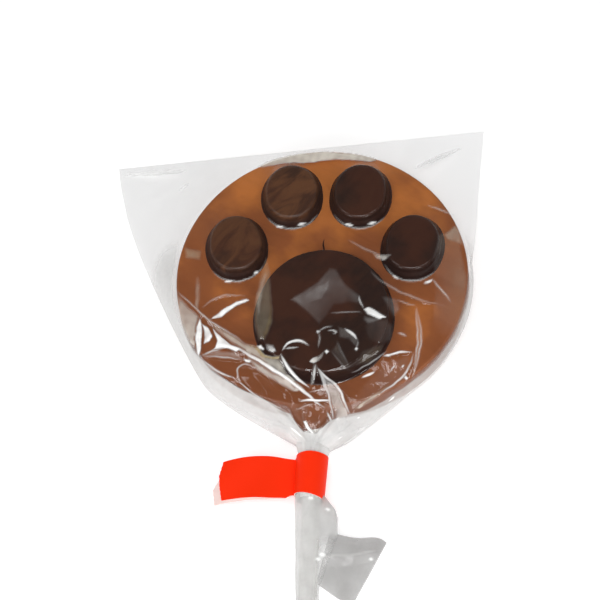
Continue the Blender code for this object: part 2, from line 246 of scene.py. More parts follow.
milk = {"colour": (0.308, 0.094, 0.027), "orange": (0.52, 0.168, 0.036), "brown": (0.240, 0.073, 0.024),
        "roughness": 0.36, "sides": 256, "rim": 0.65, "draft": 0.4,
        "bossX": -1.2, "bossWidth": 11.0, "bossLength": 5.6}


def milkChocolate():
    material, tree, shader = newMaterial("milk_chocolate")
    clouds = placeNoise(tree, 46, 4, turn=20)
    streaks = placeNoise(tree, 300, 6, stretch=(3.5, 1.0, 1.0), turn=-32, rough=0.68, twist=0.6)
    # paler towards the top of the disc
    where = addNode(tree, "ShaderNodeTexCoord").outputs["Object"]
    up = addNode(tree, "ShaderNodeSeparateXYZ", {"Vector": where}).outputs["Y"]
    paler = number(tree, 'MULTIPLY_ADD', number(tree, 'SUBTRACT', up, middleY), 6.4, clouds)
    base = ramp(tree, paler, [(0.36, milk["brown"]), (0.54, milk["colour"]), (0.68, milk["orange"])])
    # diagonal streaks, a little darker in some places and a little paler and bluer in others
    streakTone = ramp(tree, streaks, [(0.30, (0.90, 0.88, 0.86)), (0.5, 1.0), (0.70, (1.06, 1.07, 1.10))])
    fine = bump(tree, placeNoise(tree, 900, 3), 0.12, 0.0001)
    fill(tree, shader, {"Base Color": blend(tree, 1.0, base, streakTone, 'MULTIPLY'),
                        "Roughness": number(tree, 'MULTIPLY_ADD', clouds, 0.16, milk["roughness"] - 0.08),
                        "Normal": bump(tree, streaks, 0.25, 0.00018, fine)})
    return material


def makeDisc(material):
    # rings from the underside out, up the side, round the rim and over the front
    front = discRadius - milk["draft"]
    rings = [(discRadius - 1.2, discBottom), (discRadius - 0.5, discBottom + 0.06),
             (discRadius - 0.12, discBottom + 0.3), (discRadius, discBottom + 0.7),
             (discRadius - 0.1, stickZ - 1.4), (discRadius - 0.2, stickZ), (discRadius - 0.3, stickZ + 1.6),
             (discRadius - 0.35, stickZ + 2.5)]
    for turn in np.linspace(0, math.pi / 2, 7):
        rings.append((front - milk["rim"] * (1 - math.cos(turn)),
                      discTop - milk["rim"] * (1 - math.sin(turn))))
    rings += [(radius, discTop) for radius in np.linspace(front - 1.6, 1.0, 30)]
    loops = []
    for radius, level in rings:
        plan = oval(milk["sides"], radius, radius)
        x, y = plan[:, 0], plan[:, 1]
        # chocolate swells out round the stick, below the rim
        beside = np.abs(x - milk["bossX"]) / (milk["bossWidth"] / 2)
        low = ease((discTop - level) / 1.0) * ease((level - discBottom) / 0.4 + 0.3)
        swell = milk["bossLength"] * low * np.clip(1 - beside ** 2.4, 0, 1) ** 0.8
        edge = 1 + 0.0012 * ripple(x, y, 22, 5)
        rise = 0.03 * ripple(x, y, 14, 6) * (radius < front - 1)
        loops.append(np.stack([x * edge, (y * edge - np.where(y < 0, swell, 0)),
                               level + rise], axis=1))
    return ringPiece("disc_milk", loops, [material], ["milk_disc"])


# Dark chocolate toes and main pad

# the wall colour is painted shade for the sides of the toes and pad
dark = {"colour": (0.053, 0.0190, 0.0118), "deep": (0.025, 0.0125, 0.0100), "paleStreaks": (0.130, 0.054, 0.024),
        "wall": (0.020, 0.0085, 0.0070), "roughness": 0.12, "axis": 0.6,
        "toes": [("toe_outer_left", -23.5, 7.7, 8.0, 0.8), ("toe_inner_left", -9.4, 23.7, 3.0, 1.0),
                 ("toe_inner_right", 9.2, 23.7, -3.0, 0.12), ("toe_outer_right", 23.4, 7.7, -8.0, 0.06)],
        "toeSize": (17.0, 20.0, 3.6), "toeInset": 2.4, "toePower": 2.15,
        "padSize": (37.0, 38.8, 4.5), "padInset": 2.1, "padPower": 2.08, "padPlace": (1.2, -13.1)}


def darkChocolate():
    material, tree, shader = newMaterial("dark_chocolate")
    clouds = placeNoise(tree, 70, 4)
    streaks = placeNoise(tree, 190, 6, stretch=(2.6, 1.0, 1.0), turn=50, rough=0.62, twist=1.2)
    # paler brown streaks over the tops, strongest on the left toes; the amount is read by name from each
    # piece
    amount = readNumbers(tree, "paleStreaks")
    face = ramp(tree, clouds, [(0.41, dark["deep"]), (0.58, dark["colour"])])
    # the walls are painted darker than the front, painted shade on the sides of the toes and pad
    upward = addNode(tree, "ShaderNodeSeparateXYZ",
                     {"Vector": addNode(tree, "ShaderNodeNewGeometry").outputs["Normal"]}).outputs["Z"]
    front = ramp(tree, upward, [(0.35, 0.0), (0.95, 1.0)])
    base = blend(tree, front, dark["wall"], face)
    lines = ramp(tree, streaks, [(0.40, 0.25), (0.52, 0.75), (0.62, 1.0)])
    streakShare = number(tree, 'MULTIPLY', amount, lines)
    dull = number(tree, 'MULTIPLY_ADD', front, -0.20, dark["roughness"] + 0.20)
    rough = number(tree, 'MULTIPLY_ADD', amount, 0.16, dull)
    fill(tree, shader, {"Base Color": blend(tree, streakShare, base, dark["paleStreaks"]),
                        "Roughness": number(tree, 'MULTIPLY_ADD', clouds, 0.08, rough),
                        "Specular IOR Level": number(tree, 'MULTIPLY_ADD', front, 0.23, 0.12),
                        "Normal": bump(tree, placeNoise(tree, 700, 3), 0.10, 0.0001)})
    return material


def padBody(name, place, turn, size, inset, power, sides, paleStreaks, material):
    width, length, height = size
    rim, foot, footIn = 1.25, 0.95, 0.55
    profile = [(-0.15, -0.02)]
    # hollow foot, sloping wall, rounded rim
    for angle in np.linspace(0, math.pi / 2, 8):
        profile.append((foot * (1 - math.cos(angle)), footIn * math.sin(angle)))
    for share in np.linspace(0.25, 1.0, 4):
        profile.append((foot + (height - rim - foot) * share, footIn + (inset * 0.58 - footIn) * share))
    for angle in np.linspace(0.2, math.pi / 2, 9):
        profile.append((height - rim * (1 - math.sin(angle)), inset * (1 - 0.42 * math.cos(angle))))
    rings = [(rise, width / 2 - shrink, length / 2 - shrink) for rise, shrink in profile]
    for share in (0.93, 0.85, 0.7, 0.5, 0.3, 0.12):
        rings.append((height + 0.10 * (1 - share), (width / 2 - inset) * share, (length / 2 - inset) * share))
    c, s = math.cos(math.radians(turn)), math.sin(math.radians(turn))
    loops = []
    for rise, halfWidth, halfLength in rings:
        plan = oval(sides, halfWidth, halfLength, power)
        px, py = plan[:, 0] * (1 - 0.0016 * np.maximum(plan[:, 1], 0)), plan[:, 1]
        x, y = place[0] + px * c - py * s, place[1] + px * s + py * c
        wobble = 0.07 * ripple(x, y, 9, 21) * (rise > 0.5)
        loops.append(np.stack([x + wobble, y + wobble, discTop + rise + 0.5 * wobble], axis=1))
    piece = ringPiece("paw_" + name, loops, [material], [name])
    points = np.array([vertex.co for vertex in piece.data.vertices])
    high = np.clip((points[:, 2] / mm - discTop - 1.2) / 2.0, 0.1, 1.0)
    keepNumbers(piece, "paleStreaks", paleStreaks * high)
    return piece


def makePaw(material):
    for name, across, up, turn, paleStreaks in dark["toes"]:
        padBody(name, (dark["axis"] + across, up), turn, dark["toeSize"], dark["toeInset"], dark["toePower"],
                120, paleStreaks, material)
    padBody("main_pad", dark["padPlace"], 0.0, dark["padSize"], dark["padInset"], dark["padPower"],
            200, 0.10, material)


# Paper stick

paper = {"colour": (0.86, 0.85, 0.82), "seam": (0.70, 0.69, 0.66), "turnsPerMetre": 46.0, "sides": 64}


def whitePaper():
    material, tree, shader = newMaterial("white_paper")
    where = addNode(tree, "ShaderNodeTexCoord").outputs["Object"]
    parts = addNode(tree, "ShaderNodeSeparateXYZ", {"Vector": where})
    angle = number(tree, 'ARCTAN2', number(tree, 'SUBTRACT', parts.outputs[0], middleX + stickX * mm),
                   number(tree, 'SUBTRACT', parts.outputs[2], stickZ * mm))
    spiral = number(tree, 'MULTIPLY_ADD', parts.outputs[1], paper["turnsPerMetre"],
                    number(tree, 'MULTIPLY', angle, 0.5 / math.pi))
    wrap = number(tree, 'FRACT', spiral)
    seam = ramp(tree, wrap, [(0.0, 1.0), (0.035, 0.0)])
    fibres = placeNoise(tree, 1400, 3, stretch=(1.0, 0.3, 1.0))
    tone = mottled(tree, fibres, paper["colour"], 0.93)
    height = number(tree, 'MULTIPLY_ADD', seam, -0.8, fibres)
    fill(tree, shader, {"Base Color": blend(tree, seam, tone, paper["seam"]), "Roughness": 0.75,
                        "Normal": bump(tree, height, 0.3, 0.0001)})
    return material


def makeStick(material):
    loops = []
    ends = [(0.62, stickTop), (0.9, stickTop - 0.05), (1.0, stickTop - 0.3)]
    ends += [(1.0, y) for y in np.linspace(stickTop - 2, stickEnd + 2, 24)]
    # rolled paper shows a small hollow at its cut end
    ends += [(1.0, stickEnd + 0.25), (0.93, stickEnd), (0.42, stickEnd), (0.36, stickEnd + 0.5),
             (0.3, stickEnd + 2.5)]
    for share, y in ends:
        ring = oval(paper["sides"], stickRadius * share, stickRadius * share)[::-1]
        loops.append(np.stack([stickX + ring[:, 0], np.full(len(ring), y), stickZ + ring[:, 1]], axis=1))
    return ringPiece("stick_paper", loops, [material], ["stick"], sharp=40)


# Clear film

film = {"mirror": 0.032, "roughness": 0.035, "tint": (0.958, 0.958, 0.958),
        "grey": (0.42, 0.41, 0.40), "white": (1.0, 1.0, 0.99), "warm": (0.62, 0.50, 0.30),
        "rows": 300, "columns": 300, "clear": 0.25,
        "left": [(-59.2, 38.2), (-57.8, 30.8), (-53.3, 15.3), (-41.6, -9.4),
                 (-31.3, -28.2), (-27.6, -32.8), (-15.5, -41.6), (-4.8, -47.4)],
        "rightAbove": [(43.2, 49.7), (41.6, 30.0), (40.9, 15.0)], "hug": (40.05, 8.0, -53.0),
        "rightBelow": [(20.6, -35.4), (14.6, -40.8), (8.2, -46.5), (3.8, -49.2)],
        # how far out the chocolate shows clearly through the film, by angle from straight down
        "shown": [(-60, 39.4), (-40, 39.3), (-25, 38.8), (-17, 39.6), (-8.5, 41.4), (-7, 42.8), (-3.2, 46.0),
                  (1, 46.2), (2.5, 45.0), (5, 43.2), (12, 41.7), (18, 41.9), (22, 41.4), (32, 40.2),
                  (45, 39.9), (60, 39.6), (90, 39.2)],
        "neckX": -0.6, "neckY": -49.0, "neckRadius": 3.3, "neckHeight": 3.6, "neckEnd": -62.6,
        "pleats": 9.0, "pleatHeight": 0.4, "seamHeight": 0.5, "closer": 0.10,
        "tableGap": 0.12, "greyFrom": 38.7}

# Creases as (points, half width, lift, whiteness): a sharp fold of that lift, with a painted highlight along
# its line.
# Facets as (corners with their whiteness, lift, warmth): flat places that carry a painted reflection, pale or
# cream.
# Both are drawn on the level below, as the camera sees them, and follow the line of sight to the film.
drawnLevel = 9.0
sight = (-0.109, 0.539)                 # how a point moves on that level for each mm it lies above it
creases = [
    # the sealed end's corners, painted highlights
    ([(-56.3, 31.7), (-53.8, 31.8), (-46.7, 32.2), (-38.9, 32.7)], 2.4, 0, 1),
    ([(24.7, 32.5), (28.8, 34.9), (37.5, 39.4)], 2.4, 0, 1),
    ([(-40.5, 26.0), (-37.6, 28.4)], 1.2, 0, 0.45),
    ([(27.6, 20.3), (35.4, 17.1)], 0.9, 0.1, 0.3),
    # left side
    ([(-38.1, -5.5), (-34.6, -8.9), (-30.6, -12.7), (-28.8, -14.6), (-25.1, -16.7),
      (-18.4, -21.2)], 0.9, 0.4, 0.34),
    ([(-30.7, -10.7), (-28.6, -8.6), (-25.8, -7.1), (-22.5, -6.9), (-19.5, -7.2)], 0.9, 0.25, 0.24),
    ([(-22.7, -21.5), (-18.3, -24.1), (-12.8, -27.5), (-7.4, -31.2), (-2.5, -35.4), (0.2, -37.7),
      (2.3, -39.3)], 2, 0.8, 1),
    ([(-30.2, -24.8), (-27.6, -23.6), (-24.7, -22.7)], 0.9, 0.3, 0.45),
    ([(-29.9, -24.8), (-25.6, -25.0), (-20.8, -25.6), (-18.7, -25.8)], 0.9, 0.3, 0.35),
    ([(-30.1, -25.6), (-27.3, -28.0), (-24.2, -30.0), (-21.0, -31.1)], 1, 0.2, 0.55),
    ([(-20.5, -31.3), (-16.3, -35.4), (-12.2, -38.0), (-6.9, -40.5)], 1, 0.2, 0.45),
    ([(-19.4, -32.3), (-20.6, -29.1), (-19.9, -27.7), (-18.1, -26.8), (-15.4, -28.5)], 0.8, 0.2, 0.35),
    # over the main pad
    ([(9.9, -7.0), (10.5, -8.8), (11.4, -10.8)], 0.6, 0.1, 0.5),
    ([(6.7, -16.9), (8.2, -17.9), (9.5, -18.9), (10.0, -19.8)], 1.3, 0.2, 1),
    ([(10.0, -19.8), (10.3, -20.9), (9.7, -22.5)], 0.7, 0.2, 0.2),
    ([(2.5, -17.3), (3.5, -17.1), (4.8, -17.8), (3.8, -18.2)], 0.8, 0.1, 0.5),
    ([(-0.2, -17.6), (1.2, -16.6), (3.5, -16.0)], 0.6, 0.2, 0.28),
    ([(3.1, -12.3), (6.5, -12.1), (9.0, -11.8), (10.8, -12.1)], 0.6, 0.2, 0.2),
    ([(0.1, -17.8), (0.4, -19.8), (0.1, -22.1)], 0.7, 0.2, 0.22),
    ([(-9.0, -22.9), (-8.1, -21.4), (-6.6, -20.5), (-5.0, -20.2), (-3.5, -20.8),
      (-2.4, -21.6)], 1.2, 0.4, 1),
    ([(-8.3, -22.5), (-6.7, -22.3), (-5.0, -21.9)], 0.7, 0.1, 0.5),
    ([(-9.3, -24.1), (-8.5, -26.1), (-7.2, -28.3), (-5.3, -30.7), (-3.5, -32.2),
      (-1.7, -33.7)], 1.5, 0.5, 1),
    ([(-0.3, -26.9), (-0.6, -29.4), (-0.6, -31.6)], 0.8, 0.3, 0.6),
    ([(0.2, -27.9), (2.0, -30.4), (3.8, -31.9), (5.8, -33.6)], 1.1, 0.5, 0.7),
    ([(0.3, -28.0), (1.8, -31.9), (2.9, -35.5)], 0.9, 0.4, 0.5),
    ([(4.7, -20.3), (6.1, -23.5), (8.2, -27.4)], 0.9, 0.12, 0.1),
    ([(3.5, -22.9), (5.9, -26.6), (8.5, -29.1)], 0.8, 0.12, 0.085),
    ([(9.0, -29.7), (12.0, -28.0), (15.2, -25.4), (17.7, -23.2)], 0.9, 0.2, 0.28),
    ([(11.6, -31.0), (13.3, -30.2), (14.8, -29.1)], 1.2, 0, 0.8),
    # right side
    ([(13.0, 0.0), (15.0, -2.4), (17.3, -4.0), (20.2, -5.9), (24.4, -7.8), (27.4, -9.1),
      (32.7, -10.1)], 1.1, 0.3, 0.2),
    ([(29.0, -2.2), (31.5, -5.4), (34.1, -9.1)], 0.8, 0.2, 0.4),
    ([(19.8, -8.5), (23.0, -9.6), (24.9, -10.1)], 0.7, 0.2, 0.22),
    ([(24.9, -10.4), (25.1, -14.3), (25.7, -19.5), (25.3, -24.6), (24.7, -30.7)], 0.8, 0.3, 0.35),
    ([(25.1, -10.9), (26.1, -15.3), (26.6, -19.0), (26.2, -23.1), (25.3, -28.1),
      (24.5, -31.2)], 0.8, 0.3, 0.35),
    ([(16.8, -24.7), (19.6, -24.1), (21.8, -23.4), (24.1, -23.7)], 1, 0.3, 0.85),
    ([(21.7, -28.0), (22.2, -27.1)], 0.9, 0.1, 0.7),
    ([(18.5, -29.2), (20.3, -27.1)], 0.8, 0.1, 0.4),
    ([(15.7, -35.9), (19.7, -32.9), (21.5, -31.2), (22.8, -29.7), (23.9, -27.1),
      (24.6, -24.1)], 1.2, 0.4, 0.5),
    ([(20.4, -17.9), (22.7, -19.0)], 1.2, 0.1, 0.35),
    ([(6.7, 9.6), (12.2, 6.2), (17.7, 3.8)], 0.9, 0.1, 0.2),
    # below the disc, towards the neck
    ([(-3.9, -37.5), (-1.0, -37.3), (4.3, -37.3)], 1.1, 0.3, 1),
    ([(-1.8, -35.2), (0.3, -34.5), (2.8, -34.2), (5.2, -34.1)], 0.7, 0.2, 0.35),
    ([(1.6, -30.3), (5.9, -33.5), (7.8, -38.9), (9.0, -41.5)], 1.1, 0.5, 0.7),
    ([(1.1, -28.7), (3.0, -34.6), (4.2, -39.4), (5.0, -43.6)], 1, 0.4, 0.5),
    ([(3.0, -40.5), (4.3, -43.1), (5.0, -44.2), (6.0, -43.1)], 1, 0.3, 0.6),
    ([(-5.0, -40.3), (-2.9, -38.9), (-0.0, -38.4)], 0.8, 0.2, 0.25),
    ([(-7.3, -44.0), (-4.5, -46.3), (-1.5, -48.6)], 1.2, 0.3, 1),
    ([(-6.7, -41.3), (-5.6, -43.7), (-4.1, -45.3)], 0.9, 0.3, 0.6),
    ([(21.4, -38.8), (15.1, -43.6), (10.4, -47.0), (5.7, -49.9)], 1.2, 0.4, 0.4),
    ([(8.3, -47.0), (6.6, -48.1), (5.2, -48.8)], 0.9, 0.2, 0.9),
    # a ridge along the pad's foot and six small folds, not whitened, that break up broad reflections
    ([(-0.4, -33.0), (2.8, -33.0), (6.1, -32.5), (9.3, -31.1), (12.8, -28.8), (16.2, -26.0)], 3.6, 0.9, 0),
    ([(-17.9, -29.9), (-13.3, -36.0)], 1.2, 0.4, 0),
    ([(-15.3, -28.8), (-10.2, -35.2)], 1.2, 0.4, 0),
    ([(-12.7, -29.1), (-8.0, -35.9)], 1.2, 0.4, 0),
    ([(14.4, -24.9), (16.9, -30.4)], 1.2, 0.4, 0),
    ([(16.8, -23.9), (19.5, -29.5)], 1.2, 0.4, 0),
    ([(18.9, -23.7), (21.2, -28.6)], 1.2, 0.4, 0),
    # painted glints where the film touches the toes
    ([(-12.7, 14.0), (-10.4, 13.6)], 1.3, 0, 1),
    ([(-6.8, 14.2), (-4.7, 15.0)], 1.3, 0, 1),
    ([(5.6, 14.6), (7.9, 14.0)], 1.3, 0, 1),
    ([(11.8, 14.3), (14.2, 15.2)], 1.3, 0, 1),
    ([(18.6, -1.1), (20.3, -2.3)], 1.1, 0, 0.8),
    ([(26.9, -3.4), (28.2, -3.1), (29.1, -2.4)], 1.3, 0, 1),
    ([(-25.4, -2.8), (-23.1, -2.9)], 1.3, 0, 1),
    ([(-17.8, -0.6), (-16.4, 0.2)], 1.3, 0, 0.9),
]
facets = [
    # left side
    ([(-31.1, -13.7, 0.9), (-30.5, -15.2, 0.95), (-30.2, -19.4, 1), (-30.3, -23.0, 0.95),
      (-30.8, -25.5, 0.9), (-31.7, -22.4, 0.9), (-32.1, -18.8, 0.95), (-31.9, -16.4, 0.9)], 0.4, 0),
    ([(-30.5, -15.2, 0.8), (-28.9, -16.4, 0.9), (-27.4, -19.1, 1), (-28.1, -20.6, 1),
      (-29.7, -21.5, 0.95), (-29.5, -19.4, 0.5)], 0.3, 0),
    ([(-28.0, -16.1, 0.7), (-26.7, -17.6, 1), (-24.9, -19.4, 1), (-22.7, -21.2, 1), (-19.4, -23.1, 1),
      (-21.0, -23.6, 0.95), (-23.1, -22.5, 1), (-25.8, -22.7, 0.9), (-28.1, -23.7, 0.5),
      (-26.6, -22.1, 0.9), (-26.1, -20.3, 1)], 0.4, 0),
    ([(-28.7, -14.8, 0.25), (-25.1, -16.9, 0.3), (-19.0, -20.9, 0.38), (-15.7, -22.1, 0.42),
      (-12.9, -24.7, 0.4), (-9.5, -25.3, 0.34), (-7.4, -29.7, 0.45), (-3.9, -33.1, 0.55),
      (-2.0, -35.4, 0.7), (-7.4, -31.0, 0.55), (-12.8, -27.2, 0.5), (-18.3, -23.7, 0.55),
      (-22.7, -20.6, 0.5), (-26.7, -17.3, 0.4)], 0.3, 0.45),
    ([(-18.2, -25.0, 0.45), (-13.8, -27.9, 0.55), (-7.3, -31.5, 0.55), (-3.8, -34.8, 0.6),
      (-5.9, -34.8, 0.5), (-8.6, -33.1, 0.4), (-12.6, -30.8, 0.35), (-15.4, -28.8, 0.35),
      (-16.8, -26.8, 0.5)], 0.2, 0.3),
    ([(-19.1, -25.5, 0.9), (-16.8, -26.0, 1), (-17.1, -26.7, 0.9), (-18.5, -26.5, 0.9)], 0.1, 0),
    ([(-38.0, -6.1, 0.15), (-33.9, -11.0, 0.32), (-31.4, -13.1, 0.42), (-32.0, -17.6, 0.5),
      (-31.9, -22.7, 0.5), (-33.7, -20.6, 0.5), (-35.7, -17.0, 0.45), (-37.3, -12.2, 0.38)], 0.2, 0.35),
    ([(-33.2, -1.8, 0.05), (-32.2, -1.2, 0.08), (-31.6, -5.5, 0.14), (-31.7, -11.6, 0.34),
      (-32.8, -11.0, 0.34), (-32.9, -5.5, 0.28)], 0.1, 0.5),
    ([(-28.8, -14.4, 0.7), (-27.0, -12.7, 1), (-24.5, -10.6, 1), (-21.9, -8.9, 1), (-19.2, -8.0, 1),
      (-18.3, -8.5, 1), (-21.8, -10.2, 1), (-25.4, -13.3, 1)], 0.2, 0),
    ([(-29.4, -24.5, 0.1), (-25.8, -23.3, 0.2), (-21.0, -23.6, 0.25), (-19.3, -25.3, 0.28),
      (-23.5, -25.3, 0.12)], 0.1, 0.2),
    # over the main pad
    ([(-7.7, -8.2, 0.16), (-4.1, -5.5, 0.08), (-0.6, -2.9, 0.09), (2.1, 1.3, 0.04), (4.1, 0.7, 0.05),
      (6.4, -3.5, 0.06), (10.2, -7.0, 0.08), (11.3, -9.4, 0.03), (7.7, -9.4, 0.015), (3.8, -10.0, 0.02),
      (3.1, -11.1, 0.025), (2.1, -13.2, 0.025), (-0.1, -15.5, 0.04), (-2.8, -12.3, 0.05),
      (-6.6, -8.9, 0.1)], 0.2, 0),
    ([(-5.6, -8.2, 0.08), (-4.1, -6.7, 0.1), (-1.6, -4.4, 0.12), (2.5, -2.3, 0.16), (2.3, -5.3, 0.15),
      (0.9, -8.2, 0.11), (-2.9, -9.9, 0.09)], 0, 0),
    ([(-14.7, 4.7, 0.14), (-13.4, -0.2, 0.16), (-12.9, -5.2, 0.12), (-12.1, -11.1, 0.14),
      (-12.0, -14.6, 0.15), (-13.4, -19.8, 0.14), (-15.3, -20.1, 0.1), (-16.7, -16.1, 0.1),
      (-17.0, -11.1, 0.12), (-16.5, -5.8, 0.16), (-15.7, -0.2, 0.16)], 0.2, 0.8),
    ([(-14.6, 1.8, 0.22), (-13.9, -1.3, 0.26), (-14.4, -4.7, 0.28), (-14.8, -8.3, 0.34),
      (-15.2, -12.2, 0.34), (-15.8, -13.7, 0.26), (-16.5, -11.6, 0.22), (-16.9, -8.0, 0.22),
      (-16.0, -3.7, 0.24)], 0.2, 0.6),
    ([(-12.8, -6.5, 0.16), (-12.2, -11.0, 0.2), (-12.0, -14.7, 0.22), (-12.8, -17.6, 0.24),
      (-13.8, -20.2, 0.22), (-14.6, -19.4, 0.2), (-13.8, -15.8, 0.2), (-13.3, -11.6, 0.16)], 0.2, 1),
    ([(-18.1, -21.4, 0.45), (-16.6, -21.6, 0.55), (-14.8, -22.6, 0.6), (-13.4, -24.2, 0.62),
      (-11.4, -24.8, 0.62), (-9.5, -24.4, 0.6), (-9.5, -25.5, 0.55), (-11.6, -25.8, 0.6),
      (-14.1, -25.3, 0.6), (-15.8, -23.5, 0.55), (-17.3, -22.1, 0.45)], 0, 1),
    ([(11.3, -11.0, 0.9), (12.6, -10.4, 1), (14.1, -11.2, 1), (17.3, -13.5, 1), (15.5, -14.0, 1),
      (13.8, -13.2, 1), (12.2, -12.5, 0.6), (12.0, -11.8, 0.7)], 0.2, 0),
    ([(11.4, -12.9, 0.08), (13.9, -13.5, 0.14), (16.8, -14.0, 0.08), (12.7, -15.5, 0.12),
      (11.4, -14.3, 0.05)], 0.1, 0),
    ([(15.9, -7.6, 0.06), (17.6, -7.1, 0.05), (20.2, -8.5, 0.08), (20.8, -11.1, 0.09),
      (19.3, -13.7, 0.05), (17.7, -11.1, 0.03)], 0.1, 0),
    ([(4.8, -16.0, 0.04), (6.9, -16.9, 0.08), (10.0, -19.8, 0.1), (9.8, -22.1, 0.1), (7.7, -19.8, 0.05),
      (5.4, -19.2, 0.07)], 0.1, 0.2),
    ([(1.7, -23.3, 0.9), (2.3, -22.6, 1), (3.1, -23.3, 1), (2.4, -24.2, 0.9)], 0, 0),
    ([(9.2, -22.6, 0.9), (9.8, -22.1, 1), (10.4, -22.6, 1), (9.9, -23.2, 0.9)], 0, 0),
    ([(-0.7, -17.6, 0.7), (-0.2, -17.1, 0.8), (0.4, -17.6, 0.8), (-0.1, -18.3, 0.7)], 0, 0),
    ([(-2.1, -26.3, 1), (-1.3, -25.2, 0.8), (0.2, -24.6, 0.5), (1.8, -23.1, 0.35), (1.5, -24.5, 0.3),
      (0.3, -26.0, 0.45), (-0.9, -26.7, 0.8)], 0.2, 0.2),
    ([(-0.9, -26.7, 0.2), (0.2, -27.2, 0.25), (-0.2, -29.4, 0.3), (-0.5, -32.2, 0.45),
      (-1.4, -33.5, 0.3), (-1.3, -29.7, 0.2)], 0.2, 0.1),
    ([(0.4, -28.3, 0.25), (2.0, -30.4, 0.3), (5.8, -33.6, 0.35), (6.3, -35.7, 0.4), (3.1, -35.7, 0.35),
      (1.8, -31.9, 0.2)], 0.3, 0.1),
    ([(3.7, -22.9, 0.04), (4.9, -20.6, 0.07), (8.2, -27.7, 0.09), (7.0, -27.7, 0.02)], 0.1, 0.7),
    ([(11.4, -22.9, 0.03), (14.4, -21.8, 0.05), (17.2, -20.9, 0.03), (16.2, -23.5, 0.06),
      (13.2, -26.6, 0.08), (9.7, -27.7, 0.04)], 0.2, 1),
    ([(16.6, -25.0, 0.5), (17.7, -24.0, 1), (19.4, -24.2, 1), (18.2, -25.0, 0.8)], 0, 0),
    ([(-15.9, -21.8, 0.9), (-14.6, -21.5, 1), (-13.5, -22.7, 1), (-14.0, -23.1, 0.9),
      (-15.1, -22.6, 1)], 0.1, 0),
    ([(-13.7, -21.1, 0.15), (-11.4, -21.5, 0.3), (-10.6, -23.2, 0.7), (-11.7, -23.5, 0.7),
      (-13.1, -22.8, 0.3)], 0.1, 0),
    ([(11.4, -16.0, 0.01), (12.9, -14.6, 0.03), (17.3, -14.0, 0.035), (19.3, -15.8, 0.03),
      (18.9, -20.1, 0.03), (16.4, -21.5, 0.02), (12.8, -20.1, 0.01)], 0.1, 0),
    # right side
    ([(25.0, -10.9, 0.12), (26.3, -16.4, 0.18), (26.5, -19.5, 0.2), (25.9, -24.1, 0.32),
      (24.9, -30.1, 0.45), (24.5, -30.1, 0.4), (25.4, -23.1, 0.3), (25.7, -19.0, 0.2)], 0.1, 0.5),
    ([(22.2, -31.0, 0.8), (22.8, -30.1, 0.7), (23.5, -31.0, 1), (23.0, -31.7, 1)], 0, 0),
    ([(9.7, -39.7, 0.5), (12.6, -36.7, 0.3), (17.0, -33.9, 0.28), (19.7, -32.4, 0.4),
      (18.8, -34.0, 0.35), (15.3, -36.8, 0.4), (11.3, -39.7, 0.5)], 0.2, 0.5),
    ([(18.7, -37.5, 0.9), (19.6, -36.3, 1), (20.6, -35.9, 1), (19.9, -37.3, 1),
      (19.1, -38.0, 0.9)], 0, 0),
    ([(32.0, 11.2, 0.3), (35.4, 14.3, 0.35), (36.4, 12.7, 0.3), (37.4, 8.0, 0.25), (34.4, 8.8, 0.2),
      (32.7, 9.6, 0.25)], 0.1, 0.6),
    ([(13.3, 5.2, 0.3), (18.3, 5.0, 0.5), (16.5, 3.3, 0.55), (14.7, 3.6, 0.4)], 0.1, 0.3),
    ([(10.0, -35.5, 0.01), (13.8, -30.8, 0.02), (17.0, -27.2, 0.04), (23.7, -24.3, 0.04),
      (23.2, -30.1, 0.04), (17.8, -35.8, 0.04), (10.8, -39.4, 0.03), (8.5, -38.7, 0.01)], 0, 0.2),
    ([(29.2, -17.7, 0), (29.8, -4.2, 0.01), (29.1, 4.2, 0.02), (30.7, 11.2, 0.06), (35.7, 13.5, 0.1),
      (38.4, -2.0, 0.14), (38.0, -12.5, 0.09), (34.4, -19.9, 0.01)], 0, 0.6),
    # below the disc
    ([(1.7, -30.9, 0.25), (5.9, -33.5, 0.35), (6.7, -36.5, 0.4), (8.3, -40.5, 0.6), (9.1, -43.6, 0.6),
      (7.1, -47.3, 0.5), (5.5, -43.6, 0.45), (4.9, -40.7, 0.2), (3.3, -36.8, 0.25)], 0.3, 0.2),
    ([(-2.9, -43.3, 0.9), (-2.0, -43.0, 1), (-1.1, -44.7, 1), (0.8, -47.3, 0.8), (-0.6, -46.8, 0.7),
      (-2.2, -44.9, 0.9)], 0.3, 0),
    ([(10.5, -42.3, 0.9), (11.2, -41.9, 1), (12.0, -42.1, 1), (11.2, -42.7, 0.9)], 0, 0),
    # painted reflections near the sealed end and rim: the pale crescent over the disc's far rim, and a patch
    # at its left rim
    ([(-19.9, 32.5, 0.1), (-16.5, 34.6, 0.55), (-13.0, 36.0, 0.88), (-7.5, 37.3, 0.97),
      (-0.5, 38.0, 0.97), (8.0, 37.1, 0.97), (12.2, 36.0, 0.88), (14.6, 34.8, 0.6), (12.2, 34.3, 0.8),
      (8.7, 34.7, 0.86), (3.1, 35.1, 0.9), (-1.0, 34.8, 0.92), (-3.1, 34.2, 0.88), (-5.9, 33.9, 0.86),
      (-8.7, 34.2, 0.84), (-12.9, 33.6, 0.7)], 0, 0.42),
    ([(-37.0, 7.6, 0.25), (-32.1, 6.6, 0.18), (-32.4, 3.8, 0.2), (-36.4, 4.3, 0.25)], 0.1, 0.8),
]


